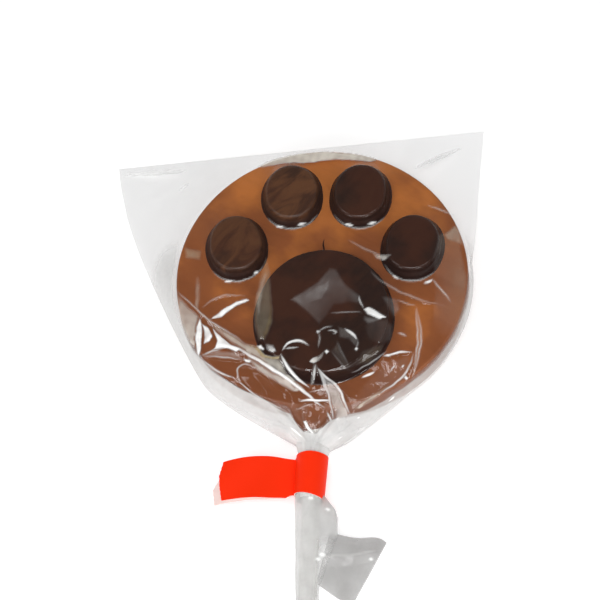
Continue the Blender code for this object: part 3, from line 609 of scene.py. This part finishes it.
def clearFilm():
    material, tree, shader = newMaterial("clear_film")
    tree.nodes.remove(shader)
    waves = bump(tree, placeNoise(tree, 210, 3, rough=0.55), 0.22, 0.0004)
    facing = addNode(tree, "ShaderNodeLayerWeight", {"Blend": 0.5, "Normal": waves}).outputs["Facing"]
    slant = number(tree, 'POWER', facing, 5.0)
    share = number(tree, 'MULTIPLY_ADD', slant, 1 - film["mirror"], film["mirror"])
    clear = addNode(tree, "ShaderNodeBsdfTransparent", {"Color": (*film["tint"], 1.0)}).outputs[0]
    mirror = addNode(tree, "ShaderNodeBsdfGlossy",
                     {"Roughness": film["roughness"], "Normal": waves}).outputs[0]
    # tone runs from grey at 0 through white at 1 to a warm cream at 2
    half = number(tree, 'MULTIPLY', readNumbers(tree, "tone"), 0.5)
    shade = ramp(tree, half, [(0.0, film["grey"]), (0.5, film["white"]), (1.0, film["warm"])])
    # this diffuse layer paints the film's own haze, and its painted highlights and reflections, in these
    # tones
    hazeAndHighlight = addNode(tree, "ShaderNodeBsdfDiffuse", {"Color": shade}).outputs[0]
    broken = ramp(tree, placeNoise(tree, 420, 4, rough=0.6), [(0.35, 0.90), (0.6, 1.0)])
    amount = number(tree, 'MULTIPLY', readNumbers(tree, "hazeAndHighlight"), broken)
    sheet = mixShaders(tree, share, clear, mirror)
    fill(tree, tree.nodes["Material Output"], {"Surface": mixShaders(tree, amount, sheet, hazeAndHighlight)})
    return material


def rightEdge():
    radius, first, last = film["hug"]
    turns = np.radians(np.linspace(first, last, 30))
    arc = [(radius * math.cos(turn), radius * math.sin(turn)) for turn in turns]
    return film["rightAbove"] + arc + film["rightBelow"]


def rowShares(count):
    # rows lie closer together towards the neck, where the film is most creased
    share = np.linspace(0.0, 1.0, count)
    return share + film["closer"] * np.sin(math.pi * share)


def stations(path, count):
    points = smoothLine(path, 2)
    reach = np.concatenate([[0.0], np.cumsum(np.hypot(*np.diff(points, axis=0).T))])
    steps = reach[-1] * rowShares(count)
    return np.stack([np.interp(steps, reach, points[:, axis]) for axis in (0, 1)], axis=1)


def sheetPlan(rows, columns):
    left, right = stations(film["left"], rows), stations(rightEdge(), rows)
    share = np.linspace(0.0, 1.0, columns)
    share = (0.8 * share + 0.2 * (0.5 - 0.5 * np.cos(math.pi * share)))[None, :, None]
    plan = left[:, None, :] * (1 - share) + right[:, None, :] * share
    return plan[..., 0], plan[..., 1]


def edgeLevels(rows):
    # height of the bag's side folds, from the sealed end to the neck
    down = rowShares(rows)
    left = film["seamHeight"] + 1.3 * ease(down / 0.4) + (stickZ - 1.8) * ease((down - 0.72) / 0.28)
    right = film["seamHeight"] + 3.3 * ease((down - 0.1) / 0.25)
    right = right + (stickZ - film["seamHeight"] - 3.3) * ease((down - 0.8) / 0.2)
    return left, right


def ovalReach(x, y, place, turn, halfWidth, halfLength, power):
    c, s = math.cos(math.radians(turn)), math.sin(math.radians(turn))
    px, py = x - place[0], y - place[1]
    across, up = px * c + py * s, -px * s + py * c
    return (np.abs(across / halfWidth) ** power + np.abs(up / halfLength) ** power) ** (1 / power)


def contents(x, y):
    # top of whatever lies under the film, plus a little clearance
    need = np.full(x.shape, film["seamHeight"])
    beside = np.abs(x - stickX) / (stickRadius + 0.3)
    stickLevel = stickZ + stickRadius * np.sqrt(np.clip(1 - beside ** 2, 0, 1))
    need = np.where((beside < 1) & (y < 0), stickLevel, need)
    need = np.where(np.hypot(x, y) < discRadius + 0.1, discTop, need)
    bodies = [((dark["axis"] + across, up), turn, dark["toeSize"], dark["toeInset"], dark["toePower"])
              for _, across, up, turn, _ in dark["toes"]]
    bodies.append((dark["padPlace"], 0.0, dark["padSize"], dark["padInset"], dark["padPower"]))
    for place, turn, (width, length, height), inset, power in bodies:
        reach = ovalReach(x, y, place, turn, width / 2 + 0.3, length / 2 + 0.3, power)
        away = np.clip((1 - reach) * width / 2 / (inset + 0.7), 0, 1)
        need = np.where(reach < 1, discTop + height * (1 - (1 - away) ** 2.2), need)
    return need + film["clear"]


def relax(height, need, rounds):
    for _ in range(rounds):
        middle = (height[:-2, 1:-1] + height[2:, 1:-1] + height[1:-1, :-2] + height[1:-1, 2:]) / 4
        height[1:-1, 1:-1] = np.maximum(need[1:-1, 1:-1], middle)
    return height


def enlarge(height, rows, columns):
    r, c = np.linspace(0, height.shape[0] - 1, rows), np.linspace(0, height.shape[1] - 1, columns)
    wide = np.stack([np.interp(c, np.arange(height.shape[1]), row) for row in height])
    return np.stack([np.interp(r, np.arange(height.shape[0]), wide[:, k]) for k in range(columns)], axis=1)


def tightSheet():
    # the upper film drawn tight over the paw: coarse first, then finer
    height = None
    for part, rounds in ((6, 500), (3, 500), (2, 500), (1, 900)):
        rows, columns = film["rows"] // part, film["columns"] // part
        x, y = sheetPlan(rows, columns)
        left, right = edgeLevels(rows)
        need = contents(x, y)
        height = need.copy() if height is None else np.maximum(enlarge(height, rows, columns), need)
        height[0, :], height[:, 0], height[:, -1] = film["seamHeight"], left, right
        height[-1, :] = stickZ + film["neckRadius"]
        relax(height, need, rounds)
    return x, y, height


def lineReach(x, y, line):
    # distance to a drawn line, and how far along it the nearest place is
    best, share = np.full(x.shape, 1e9), np.zeros(x.shape)
    reach = np.concatenate([[0.0], np.cumsum(np.hypot(*np.diff(line, axis=0).T))])
    for a, b, near, far in zip(line, line[1:], reach, reach[1:]):
        way = b - a
        t = np.clip(((x - a[0]) * way[0] + (y - a[1]) * way[1]) / (way @ way), 0, 1)
        gap = np.hypot(x - a[0] - t * way[0], y - a[1] - t * way[1])
        closer = gap < best
        best[closer] = gap[closer]
        share[closer] = ((near + (far - near) * t) / reach[-1])[closer]
    return best, share


def insideShape(x, y, corners):
    inside = np.zeros(x.shape, bool)
    for (ax, ay), (bx, by) in zip(corners, corners[1:] + corners[:1]):
        crossing = (ay > y) != (by > y)
        inside ^= crossing & (x < (bx - ax) * (y - ay) / (by - ay + 1e-9) + ax)
    return inside


def smallCreases():
    # fine folds that fan out from the neck, always the same ones
    dice = np.random.default_rng(11)
    lines = []
    for _ in range(28):
        bearing = math.radians(dice.uniform(-80, 76))
        start, length = dice.uniform(3, 10), dice.uniform(3, 7)
        bend = math.radians(dice.uniform(-14, 14))
        points = []
        for share in (0.0, 0.5, 1.0):
            away, turn = start + length * share, bearing + bend * share
            points.append((film["neckX"] + away * math.sin(turn), film["neckY"] + away * math.cos(turn)))
        lines.append((points, dice.uniform(0.6, 1.3), dice.uniform(0.05, 0.3), dice.uniform(0.0, 0.08)))
    return lines


def toeFeet():
    # a soft painted highlight where the film lies against the front of each toe
    lines = []
    width, length, _ = dark["toeSize"]
    for _, across, up, turn, _ in dark["toes"]:
        c, s = math.cos(math.radians(turn)), math.sin(math.radians(turn))
        points = []
        for angle in np.radians(np.linspace(218, 322, 9)):
            px, py = (width / 2 + 0.1) * math.cos(angle), (length / 2 + 0.1) * math.sin(angle)
            points.append((dark["axis"] + across + px * c - py * s + sight[0] * (discTop - drawnLevel),
                           up + px * s + py * c + sight[1] * (discTop - drawnLevel)))
        lines.append((points, 0.8, 0.0, 0.30))
    return lines


def cornerBlend(x, y, corners, values):
    # values at the corners, blended smoothly over the shape between them
    total, weights = np.zeros(x.shape), np.zeros(x.shape)
    for (cx, cy), value in zip(corners, values):
        weight = 1 / ((x - cx) ** 2 + (y - cy) ** 2 + 0.05)
        total, weights = total + weight * value, weights + weight
    return total / weights


def markFilm(flatX, flatY):
    # lift, and the whiteness and warmth of the painted highlights and reflections, of every crease and facet,
    # where the camera sees them
    seenX = flatX + 0.12 * ripple(flatX, flatY, 3.5, 71)
    seenY = flatY + 0.12 * ripple(flatX, flatY, 3.5, 72)
    lift, warm = np.zeros(seenX.shape), np.zeros(seenX.shape)
    hazeAndHighlight = np.full(seenX.shape, 0.002)
    for corners, rise, warmth in facets:
        outline, whites = [(cx, cy) for cx, cy, _ in corners], [white for _, _, white in corners]
        inside = insideShape(seenX, seenY, outline)
        px, py = seenX[inside], seenY[inside]
        gap, _ = lineReach(px, py, np.array(outline + outline[:1], float))
        white = cornerBlend(px, py, outline, whites) * (1 + 0.16 * ripple(px, py, 3.0, 73))
        white = white * np.clip(0.2 + gap / np.where(white > 0.5, 0.4, 0.9), 0, 1)
        warm[inside] = np.where(white > hazeAndHighlight[inside], warmth, warm[inside])
        hazeAndHighlight[inside] = np.maximum(hazeAndHighlight[inside], white)
        lift[inside] += rise * np.clip(gap, 0, 1)
    for points, width, rise, white in creases + smallCreases() + toeFeet():
        line = smoothLine(points)
        near = ((seenX > line[:, 0].min() - width) & (seenX < line[:, 0].max() + width)
                & (seenY > line[:, 1].min() - width) & (seenY < line[:, 1].max() + width))
        gap, share = lineReach(seenX[near], seenY[near], line)
        fade = np.clip(np.sin(math.pi * np.clip(share, 0.02, 0.98)), 0, 1) ** 0.5
        lift[near] = np.maximum(lift[near], rise * np.clip(1 - gap / width, 0, 1) * fade)
        mark = white * np.clip(1.4 - 1.4 * gap / (0.25 * width * fade + 0.16), 0, 1) * fade
        warm[near] = np.where(mark > hazeAndHighlight[near], 0.0, warm[near])
        hazeAndHighlight[near] = np.maximum(hazeAndHighlight[near], mark)
    return lift, hazeAndHighlight, warm


def pleat(turn):
    # sharp folds at uneven spacing, 0 to 1
    wave = film["pleats"] * turn / math.pi + 0.5 * np.sin(2.3 * turn + 1.0) + 0.3 * np.sin(5.1 * turn)
    return 2 * np.abs(wave - np.floor(wave) - 0.5)


def wrapped(turns):
    # angles from 0 to a full turn, moved to lie between half a turn either way
    return np.where(turns > math.pi, turns - 2 * math.pi, turns)


def edgeAt(levels, edge):
    # sideways place of an edge drawn as (level along the stick, sideways place)
    return np.interp(-levels, [-level for level, _ in edge], [place for _, place in edge])


def neckSection(turn, centre, halfWidth, halfHeight):
    swell = 1 + 0.08 * (pleat(turn) - 0.5) * np.abs(np.sin(turn))
    return centre + halfWidth * swell * np.cos(turn), stickZ + halfHeight * swell * np.sin(turn)


def makeBag(material):
    x, y, height = tightSheet()
    rows, columns = x.shape
    steps = np.linspace(0, 1, columns)[None, :]
    free = ease(steps / 0.04) * ease((1 - steps) / 0.04)
    down = rowShares(rows)[:, None]
    gather = ease((down - 0.92) / 0.08)
    turn = math.pi * (1 - steps)
    half, centre = (x[:, -1:] - x[:, :1]) / 2, (x[:, -1:] + x[:, :1]) / 2
    roundX, roundZ = neckSection(turn, centre, half, film["neckHeight"])
    above = height + (roundZ - height) * gather - drawnLevel
    seenX = x + (roundX - x) * gather + sight[0] * above
    seenY = y + sight[1] * above
    lift, hazeAndHighlight, warm = markFilm(seenX, seenY)
    away = np.hypot(x - film["neckX"], y - film["neckY"])
    bearing = np.arctan2(x - film["neckX"], y - film["neckY"])
    wave = pleat(1.15 * bearing + 0.6)
    fan = film["pleatHeight"] * np.exp(-((away - 8.0) / 6.5) ** 2) * wave
    slack = 0.08 * ripple(x, y, 9, 31) * ease(down / 0.3)
    loose = ease((10 - y) / 30) * ease((height - contents(x, y)) / 2.0)
    loose = loose * (0.15 + 0.85 * ease((np.hypot(x, y) - discRadius + 1) / 4))
    folded = 0.55 * crumple(away / 7.0, bearing / 0.30, 61) + 0.22 * crumple(away / 3.2, bearing / 0.16, 64)
    top = height + (lift + fan + np.maximum(slack, -0.1) + 0.16 * (folded + 0.6) * loose) * free
    topX = x + (roundX - x) * gather
    topZ = top + (roundZ - top) * gather

    # whiter where the film gathers at the neck, with painted shade and light along its pleats; the pale band
    # where it hangs loose over the disc's side wall is a painted reflection
    angle = np.degrees(np.arctan2(seenX, -seenY))
    shown = np.interp(angle, [turned for turned, _ in film["shown"]], [reach for _, reach in film["shown"]])
    beyond = np.hypot(seenX, seenY) - shown + 0.25 * crumple(away / 5.0, bearing / 0.15, 62)
    outside = ease((beyond + 0.1) / 0.6)
    lower = 1 - ease((y - 2) / 12)
    throat = 0.86 * outside * ease((17.0 - away) / 9.0)
    share = 0.74 - 0.12 * np.tanh(seenX / 8.0)
    wall = share * outside * (1 - ease((beyond - 2.5) / 6.0)) * lower
    haze = 0.34 * outside * lower * ease((22 - away) / 10)
    covered = np.maximum(throat, np.maximum(wall, haze) * (0.88 + 0.12 * wave))
    # the loose film left of the disc is faintly grey
    clearOf = ease((np.hypot(seenX, seenY + 0.9) - film["greyFrom"]) / 0.8)
    covered = np.maximum(covered, 0.12 * ease((-seenX - 12) / 16) * clearOf)
    covered = covered * (1 + 0.07 * crumple(away / 4.0, bearing / 0.2, 66))
    marked = np.clip((hazeAndHighlight - covered) / 0.15 + 0.5, 0, 1)
    # the tone is painted darker and lighter along the pleats, and lighter on the painted band over the side
    # wall; the painted highlights take the marks' white or cream
    tone = 0.32 + 0.08 * (wave - 0.5) + 0.10 * wall
    tone = tone + (0.50 - tone) * ease((9.0 - away) / 6.0)
    tone = tone + (1.0 + warm - tone) * marked
    hazeAndHighlight = np.maximum(hazeAndHighlight, covered)
    upper = np.stack([topX, y, topZ], axis=2).reshape(-1, 3)
    sheet = makePiece("bag_upper_film", upper, gridFaces(rows, columns, flip=True), [material],
                      ["bag"])
    keepNumbers(sheet, "hazeAndHighlight", np.clip(hazeAndHighlight, 0, 0.97))
    keepNumbers(sheet, "tone", tone)
    makeUnderFilm(material, rows, gather, centre, half)


def makeUnderFilm(material, rows, gather, centre, half):
    # flat on the table, turned up at its side folds to meet the upper film
    columns, gap = 60, film["tableGap"]
    x, y = sheetPlan(rows, columns)
    left, right = edgeLevels(rows)
    inLeft = np.hypot(x - x[:, :1], y - y[:, :1])
    inRight = np.hypot(x - x[:, -1:], y - y[:, -1:])
    level = gap + (left[:, None] - gap) * np.clip(1 - inLeft / 3.0, 0, 1) ** 2
    level = np.maximum(level, gap + (right[:, None] - gap) * np.clip(1 - inRight / 1.6, 0, 1) ** 2)
    level[0, :] = film["seamHeight"]
    level[1:8, :] = np.maximum(level[1:8, :], film["seamHeight"] * np.linspace(0.85, 0.2, 7)[:, None])
    turn = -math.pi * (1 - np.linspace(0, 1, columns))[None, :]
    roundX, roundZ = neckSection(turn, centre, half, film["neckHeight"])
    under = np.stack([x + (roundX - x) * gather, y, level + (roundZ - level) * gather], axis=2)
    sheet = makePiece("bag_lower_film", under.reshape(-1, 3), gridFaces(rows, columns, flip=True),
                      [material], ["bag"])
    keepNumbers(sheet, "hazeAndHighlight", np.repeat(0.022 + 0.5 * gather, columns))
    keepNumbers(sheet, "tone", np.full(rows * columns, 0.5))


def makeNeck(material):
    # starts on the slant of the bag's last row and ends straight inside the tape
    turns = wrapped(np.linspace(0, 2 * math.pi, 144, endpoint=False))
    (leftX, leftY), (rightX, rightY) = film["left"][-1], film["rightBelow"][-1]
    points = []
    for share in np.linspace(0, 1, 40):
        tight = ease(share / 0.22)
        wide, centre = (rightX - leftX) / 2, (rightX + leftX) / 2
        nx, nz = neckSection(turns, centre + (film["neckX"] - centre) * tight - 0.25 * share,
                             wide - (wide - 3.5) * tight - 0.35 * share,
                             film["neckHeight"] - 0.1 * tight - 0.2 * share)
        first = leftY + (rightY - leftY) * np.clip((nx - leftX) / (rightX - leftX), 0, 1)
        points.append(np.stack([nx, first + (film["neckEnd"] - first) * share, nz], axis=1))
    neck = makePiece("bag_neck_film", np.concatenate(points), gridFaces(40, len(turns), closed=True),
                     [material], ["bag"])
    # the gathered film is whiter here, with painted shade and light along its pleats
    keepNumbers(neck, "hazeAndHighlight", np.repeat(0.82, 40 * len(turns)))
    keepNumbers(neck, "tone", np.tile(0.56 + 0.05 * pleat(turns), 40))


# Tail of the bag round the stick, and its flared corner

tail = {"end": -94.0, "throat": (3.1, 3.2),
        "left": [(-60.4, -4.5), (-63.0, -4.4), (-68.5, -4.1), (-75.4, -3.6), (-87.4, -3.1), (-94.0, -3.1)],
        "right": [(-60.4, 2.8), (-61.5, 3.1), (-63.5, 4.6), (-65.0, 5.8), (-67.0, 6.5), (-71.6, 6.7),
                  (-75.0, 5.6), (-80.0, 4.0), (-84.7, 2.5), (-94.0, 2.4)],
        "corners": [(4.5, -70.9), (18.4, -72.2), (10.4, -88.2), (1.7, -84.0)],
        "rows": 130, "around": 132, "hazeAndHighlight": 0.55, "tone": 0.53,
        "glints": [(-0.2, -63.0, 0.55), (4.0, -65.5, 0.45), (3.1, -77.3, 0.6), (2.2, -78.5, 0.45)],
        "finGlints": [(14.7, -76.7, 0.4)], "finBow": 13.0,
        "finFold": [(3.5, -76.9), (9.5, -75.9), (15.6, -74.6)],
        "finLayers": [("tail_fin_upper_film", 1.9, 1), ("tail_fin_lower_film", 0.9, -1)]}


def glintShare(x, y, glints):
    # 1 in the middle of each painted glint, which is a little wider than long and soft at its edge
    share = np.zeros(x.shape)
    for gx, gy, size in glints:
        share = np.maximum(share, np.clip(1.6 - np.hypot((x - gx) / 1.3, y - gy) / size, 0, 1))
    return share


def makeTail(material):
    levels = np.linspace(tail["left"][0][0], tail["end"], tail["rows"])
    turns = np.linspace(0, 2 * math.pi, tail["around"], endpoint=False)
    nx, nz = neckSection(wrapped(turns), film["neckX"] - 0.25, *tail["throat"])
    c, s = np.cos(turns), np.sin(turns)
    points, hazeAndHighlights, tones = [], [], []
    for y, left, right in zip(levels, edgeAt(levels, tail["left"]), edgeAt(levels, tail["right"])):
        opened = ease((levels[0] - y) / 1.5)
        spread = np.where(c > 0, right - stickX, stickX - left)
        tall = np.where(s > 0, 3.0 - 0.9 * np.clip(c, 0, 1), 3.2)
        sx = stickX + spread * np.sign(c) * np.abs(c) ** 0.9
        sz = stickZ + tall * np.sign(s) * np.abs(s) ** 0.8
        folds = 0.10 * np.sin(5 * turns + 0.10 * y) + 0.06 * np.sin(11 * turns - 0.23 * y + 1)
        folds = folds + 0.22 * crumple(sx / 3.0, y / 5.0 + 0 * sx, 41)
        sx, sz = sx + folds * c * 0.6, np.maximum(sz + folds * s, 0.35)
        points.append(np.stack([nx + (sx - nx) * opened, np.full(len(turns), y),
                                nz + (sz - nz) * opened], axis=1))
        # where the fin lies under the sleeve its edge fades away
        over = ease((-71.5 - y) / 3.0) * ease((sx - 0.6) / 2.6)
        bright = glintShare(sx, y + 0 * sx, tail["glints"]) * (s > 0)
        sheen = (tail["hazeAndHighlight"] + 0.05 * ripple(sx * 2, y * 0.4 + 0 * sx, 5, 43)) * (1 - 0.85 * over)
        hazeAndHighlights.append(np.maximum(sheen, bright))
        # the sleeve is painted lighter towards its left side, painted light on its round body
        cast = tail["tone"] + 0.12 * np.clip(-(sx - 0.5) / 3, -1, 1) + 0.05 * ripple(sx, y + 0 * sx, 4, 44)
        tones.append(cast + (1.0 - cast) * bright)
    sleeve = makePiece("tail_film", np.concatenate(points), gridFaces(len(levels), len(turns), closed=True),
                       [material], ["bag"])
    keepNumbers(sleeve, "hazeAndHighlight", np.clip(np.concatenate(hazeAndHighlights), 0, 1))
    keepNumbers(sleeve, "tone", np.clip(np.concatenate(tones), 0, 1))

    # two layers of film folded at their upper edge, open along the cut mouth
    a, b, c, d = [np.array(corner) for corner in tail["corners"]]
    rows, columns = 70, 60
    u, v = np.meshgrid(np.linspace(0, 1, columns), np.linspace(0, 1, rows))
    plan = ((1 - v)[..., None] * ((1 - u)[..., None] * a + u[..., None] * b)
            + v[..., None] * ((1 - u)[..., None] * d + u[..., None] * c))
    # its upper edge bows out towards a rounded tip
    x, y = plan[..., 0], plan[..., 1] + tail["finBow"] * u ** 4 * (1 - u) * (1 - v) ** 2
    root = stickZ * (1 - ease(u * 1.6))
    opened = ease(v * 4)
    line, _ = lineReach(x, y, np.array(tail["finFold"]))
    buckle = 0.12 * ripple(x, y, 8, 51) * ease(u * 3) + 0.35 * np.clip(1 - line / 2.6, 0, 1)
    for name, level, sign in tail["finLayers"]:
        z = root + (1.4 + (level - 1.4) * opened) * ease(u * 1.6) + buckle * (0.4 + 0.6 * opened)
        z = np.maximum(z, 0.3)
        sheet = makePiece(name, np.stack([x, y, z], axis=2).reshape(-1, 3),
                          gridFaces(rows, columns, flip=True), [material], ["bag"])
        bright = glintShare(x, y, tail["finGlints"]) * (sign > 0)
        folded = 0.2 * np.clip(1 - line / 0.5, 0, 1)
        sheen = (0.52 + 0.05 * ripple(x, y, 6, 53 + sign)) * (0.3 + 0.7 * ease(u * 5))
        keepNumbers(sheet, "hazeAndHighlight", np.maximum(sheen + folded, bright))
        keepNumbers(sheet, "tone", np.maximum(0.03 + 0.08 * v + 0.08 * ripple(x, y, 7, 55) + folded, bright))


# Red tape

tape = {"colour": (0.95, 0.028, 0.002), "adhesive": (0.90, 0.69, 0.65), "thick": 0.22,
        "centre": -0.5, "halfWidth": 3.95, "halfHeight": 3.85, "top": -50.4, "bottom": -61.2,
        "lowCentre": -0.9, "lowHalfWidth": 3.7, "joinDrop": 1.3, "length": 22.0,
        "flagTop": -51.3, "flagBottom": -62.2, "arch": 1.3, "drop": 1.6,
        "frontEnd": [(-51.0, -22.7), (-53.5, -23.3), (-56.0, -23.9), (-59.0, -23.6), (-62.5, -22.9)],
        "backEnd": [(-51.0, -22.2), (-56.4, -23.2), (-58.2, -24.6), (-59.6, -25.3), (-63.4, -24.7)]}


def redTape():
    material, tree, shader = newMaterial("red_tape")
    crepe = placeNoise(tree, 900, 3, stretch=(1.0, 0.35, 1.0))
    brighter = tuple(min(1.0, c * 1.03) for c in tape["colour"])
    tone = ramp(tree, placeNoise(tree, 60, 2), [(0.3, tape["colour"]), (0.7, brighter)])
    fill(tree, shader, {"Base Color": tone, "Roughness": number(tree, 'MULTIPLY_ADD', crepe, 0.15, 0.42),
                        "Specular IOR Level": 0.12, "Normal": bump(tree, crepe, 0.15, 0.0001)})
    return material


def adhesiveSide():
    material, tree, shader = newMaterial("tape_adhesive")
    grain = placeNoise(tree, 500, 3)
    fill(tree, shader, {"Base Color": mottled(tree, grain, tape["adhesive"], 0.95), "Roughness": 0.4,
                        "Normal": bump(tree, grain, 0.1, 0.0001)})
    return material


def makeTape(materials):
    # one ribbon: lower end of the flag, round the neck, and back over as the upper layer
    join, span = 172.0, 24
    across = 40
    path = [("back", share ** 1.6) for share in np.linspace(1, 0, span)]
    path += [("ring", angle) for angle in np.radians(np.linspace(join + 16, 360 + join, 90))]
    path += [("front", share ** 1.6) for share in np.linspace(0, 1, span)]
    side = np.linspace(0, 1, across)
    middle = np.zeros((len(path), across, 3))
    centre = tape["centre"] + (tape["lowCentre"] - tape["centre"]) * side
    halfWidth = tape["halfWidth"] + (tape["lowHalfWidth"] - tape["halfWidth"]) * side
    for k, (part, where) in enumerate(path):
        if part == "ring":
            # wound a little askew, lower on the right
            first = tape["top"] - 0.40 - 0.18 * math.cos(where) - 0.10 * math.sin(3 * where)
            y = first + (tape["bottom"] - 0.8 - 0.8 * math.cos(where) - first) * side
            z = np.full(across, stickZ + tape["halfHeight"] * math.sin(where))
            middle[k] = np.stack([centre + halfWidth * math.cos(where), y, z], axis=1)
            continue
        end = tape["frontEnd"] if part == "front" else tape["backEnd"]
        y = tape["top"] + (tape["bottom"] - tape["top"]) * side
        flagY = tape["flagTop"] + (tape["flagBottom"] - tape["flagTop"]) * side
        flagY = flagY + 0.3 * math.sin(math.pi * where) - (0.9 - 0.5 * side) * where ** 3
        if part == "back":
            flagY = flagY - 0.9 * where
        y = y - tape["joinDrop"] * (1 - side) * ease(where * 55)
        y = y + (flagY - y) * ease(where * 2.5)
        y = y - 0.8 * side * math.exp(-abs(where - 0.11) / (0.04 if where < 0.11 else 0.35))
        stop = edgeAt(y, end) + 0.10 * np.sin(9 * y) * np.sin(3.7 * y + 1)
        turn = math.radians(join if part == "front" else join + 16)
        begin = centre + halfWidth * math.cos(turn)
        x = begin + (stop - begin) * where
        run = (begin - x) / tape["length"]
        z = stickZ + tape["arch"] * np.sin(math.pi * run) - tape["drop"] * run ** 2
        z = z + 0.18 * np.sin(run * 7 + 0.3 * y) * ease(run * 2)
        z = z + (0.16 if part == "front" else -0.16)
        middle[k] = np.stack([x, y, z], axis=1)
    way = np.gradient(middle, axis=0)
    out = np.stack([way[..., 2], 0 * way[..., 0], -way[..., 0]], axis=2)
    out /= np.linalg.norm(out, axis=2, keepdims=True) + 1e-9
    outer, inner = middle + out * tape["thick"] / 2, middle - out * tape["thick"] / 2
    rows, count = len(path), len(path) * across
    points = np.concatenate([outer.reshape(-1, 3), inner.reshape(-1, 3)])
    faces = gridFaces(rows, across) + gridFaces(rows, across, start=count, flip=True)
    shade = [0] * (len(faces) // 2) + [1] * (len(faces) // 2)
    rim = [r * across for r in range(rows)] + [(rows - 1) * across + c for c in range(1, across)]
    rim += [r * across + across - 1 for r in range(rows - 2, -1, -1)] + list(range(across - 2, 0, -1))
    for a, b in zip(rim, rim[1:] + rim[:1]):
        faces.append((a, b, b + count, a + count))
        # the pale glue shows along the lower edge
        shade.append(1 if a % across == b % across == across - 1 else 0)
    return makePiece("tape_red", points, faces, materials, ["tape"], sharp=50, shade=shade)


# Thin dark thread of chocolate above the main pad

thread = {"line": [(0.4, 10.4), (0.15, 9.0), (0.5, 7.6), (0.5, 6.2)], "halfWidth": 0.24, "halfHeight": 0.16,
          "sides": 16}


def makeThread(material):
    loops = []
    for k, (x, y) in enumerate(smoothLine(thread["line"])):
        # thinner at its upper end
        width = thread["halfWidth"] * (0.35 + 0.65 * min(1.0, k / 3))
        ring = oval(thread["sides"], width, thread["halfHeight"])
        loops.append(np.stack([x + ring[:, 0], np.full(len(ring), y), discTop + ring[:, 1]], axis=1))
    piece = ringPiece("paw_thread", loops, [material])
    keepNumbers(piece, "paleStreaks", np.zeros(len(piece.data.vertices)))


makeDisc(milkChocolate())
darkFinish = darkChocolate()
makePaw(darkFinish)
makeThread(darkFinish)
makeStick(whitePaper())
print("chocolate and stick made")
filmFinish = clearFilm()
makeBag(filmFinish)
makeNeck(filmFinish)
makeTail(filmFinish)
print("bag made")
makeTape([redTape(), adhesiveSide()])
print("tape made")


# Table, light and camera

studio = {"floor": (0.62, 0.62, 0.62), "floorGlow": 0.53,
          "overhead": ((0.0, -0.42, 0.91), 1.1, 0.50, 0.45, 7.5),
          "leftStrip": ((-0.62, -0.12, 0.78), 1.1, 0.12, 0.70, 6.0),
          "rightStrip": ((0.52, -0.18, 0.84), 1.1, 0.12, 0.70, 6.0),
          "frontLeft": ((-0.57, -0.71, 0.42), 0.95, 0.14, 0.36, 15.0),
          "frontRight": ((0.41, -0.78, 0.47), 0.95, 0.14, 0.36, 15.0),
          "sky": [(0.0, 0.70), (0.10, 0.50), (0.3, 0.32), (0.55, 0.14), (1.0, 0.05)]}


def makeTable():
    material, tree, shader = newMaterial("table_top")
    fill(tree, shader, {"Base Color": mottled(tree, placeNoise(tree, 30, 2), studio["floor"], 0.99),
                        "Roughness": 0.9, "Specular IOR Level": 0.1, "Emission Color": (1.0, 1.0, 1.0, 1.0),
                        "Emission Strength": studio["floorGlow"]})
    mesh = bpy.data.meshes.new("table_top")
    reach = 3.0
    mesh.from_pydata([(-reach, -reach, 0), (reach, -reach, 0), (reach, reach, 0), (-reach, reach, 0)],
                     [], [(0, 1, 2, 3)])
    mesh.materials.append(material)
    addObject("table_top", mesh)


def makeLight(name):
    way, distance, width, length, brightness = studio[name]
    lamp = bpy.data.lights.new(name, 'AREA')
    lamp.shape, lamp.size, lamp.size_y = 'RECTANGLE', width, length
    lamp.energy = brightness * math.pi * width * length
    box = addObject(name, lamp)
    way = Vector(way).normalized()
    box.location = Vector((middleX, middleY, 0.0)) + way * distance
    box.rotation_mode = 'QUATERNION'
    box.rotation_quaternion = way.to_track_quat('Z', 'Y')
    box.visible_camera = False


def makeSky():
    world = bpy.data.worlds.new("studio")
    bpy.context.scene.world = world
    world.use_nodes = True
    tree = world.node_tree
    way = addNode(tree, "ShaderNodeTexCoord").outputs["Generated"]
    up = addNode(tree, "ShaderNodeSeparateXYZ", {"Vector": way}).outputs[2]
    fill(tree, tree.nodes["Background"], {"Color": ramp(tree, up, studio["sky"])})


camera = {"target": (-6.13, -3.53, 0.0), "distance": 450.0, "elevation": 61.15, "azimuth": 11.4,
          "roll": 10.1, "lens": 100.96, "sensor": 36.0}


def makeCamera():
    azimuth, elevation, roll = (math.radians(camera[key]) for key in ("azimuth", "elevation", "roll"))
    back = Vector((math.sin(azimuth) * math.cos(elevation), -math.cos(azimuth) * math.cos(elevation),
                   math.sin(elevation)))
    right = Vector((math.cos(azimuth), math.sin(azimuth), 0.0))
    up = back.cross(right)
    turnedRight = math.cos(roll) * right - math.sin(roll) * up
    turnedUp = math.sin(roll) * right + math.cos(roll) * up
    lens = bpy.data.cameras.new("camera")
    lens.lens, lens.sensor_width, lens.sensor_fit = camera["lens"], camera["sensor"], 'HORIZONTAL'
    lens.clip_start, lens.clip_end = 0.01, 20.0
    eye = addObject("camera", lens)
    place = Vector(put([camera["target"]])[0]) + back * camera["distance"] * mm
    turned = Matrix((turnedRight, turnedUp, back)).transposed().to_4x4()
    eye.matrix_world = Matrix.Translation(place) @ turned
    bpy.context.scene.camera = eye


makeTable()
for name in ("overhead", "leftStrip", "rightStrip", "frontLeft", "frontRight"):
    makeLight(name)
makeSky()
makeCamera()
bpy.context.scene.view_settings.view_transform = 'Standard'
bpy.context.scene.cycles.transparent_max_bounces = 24
print("table, light and camera made")
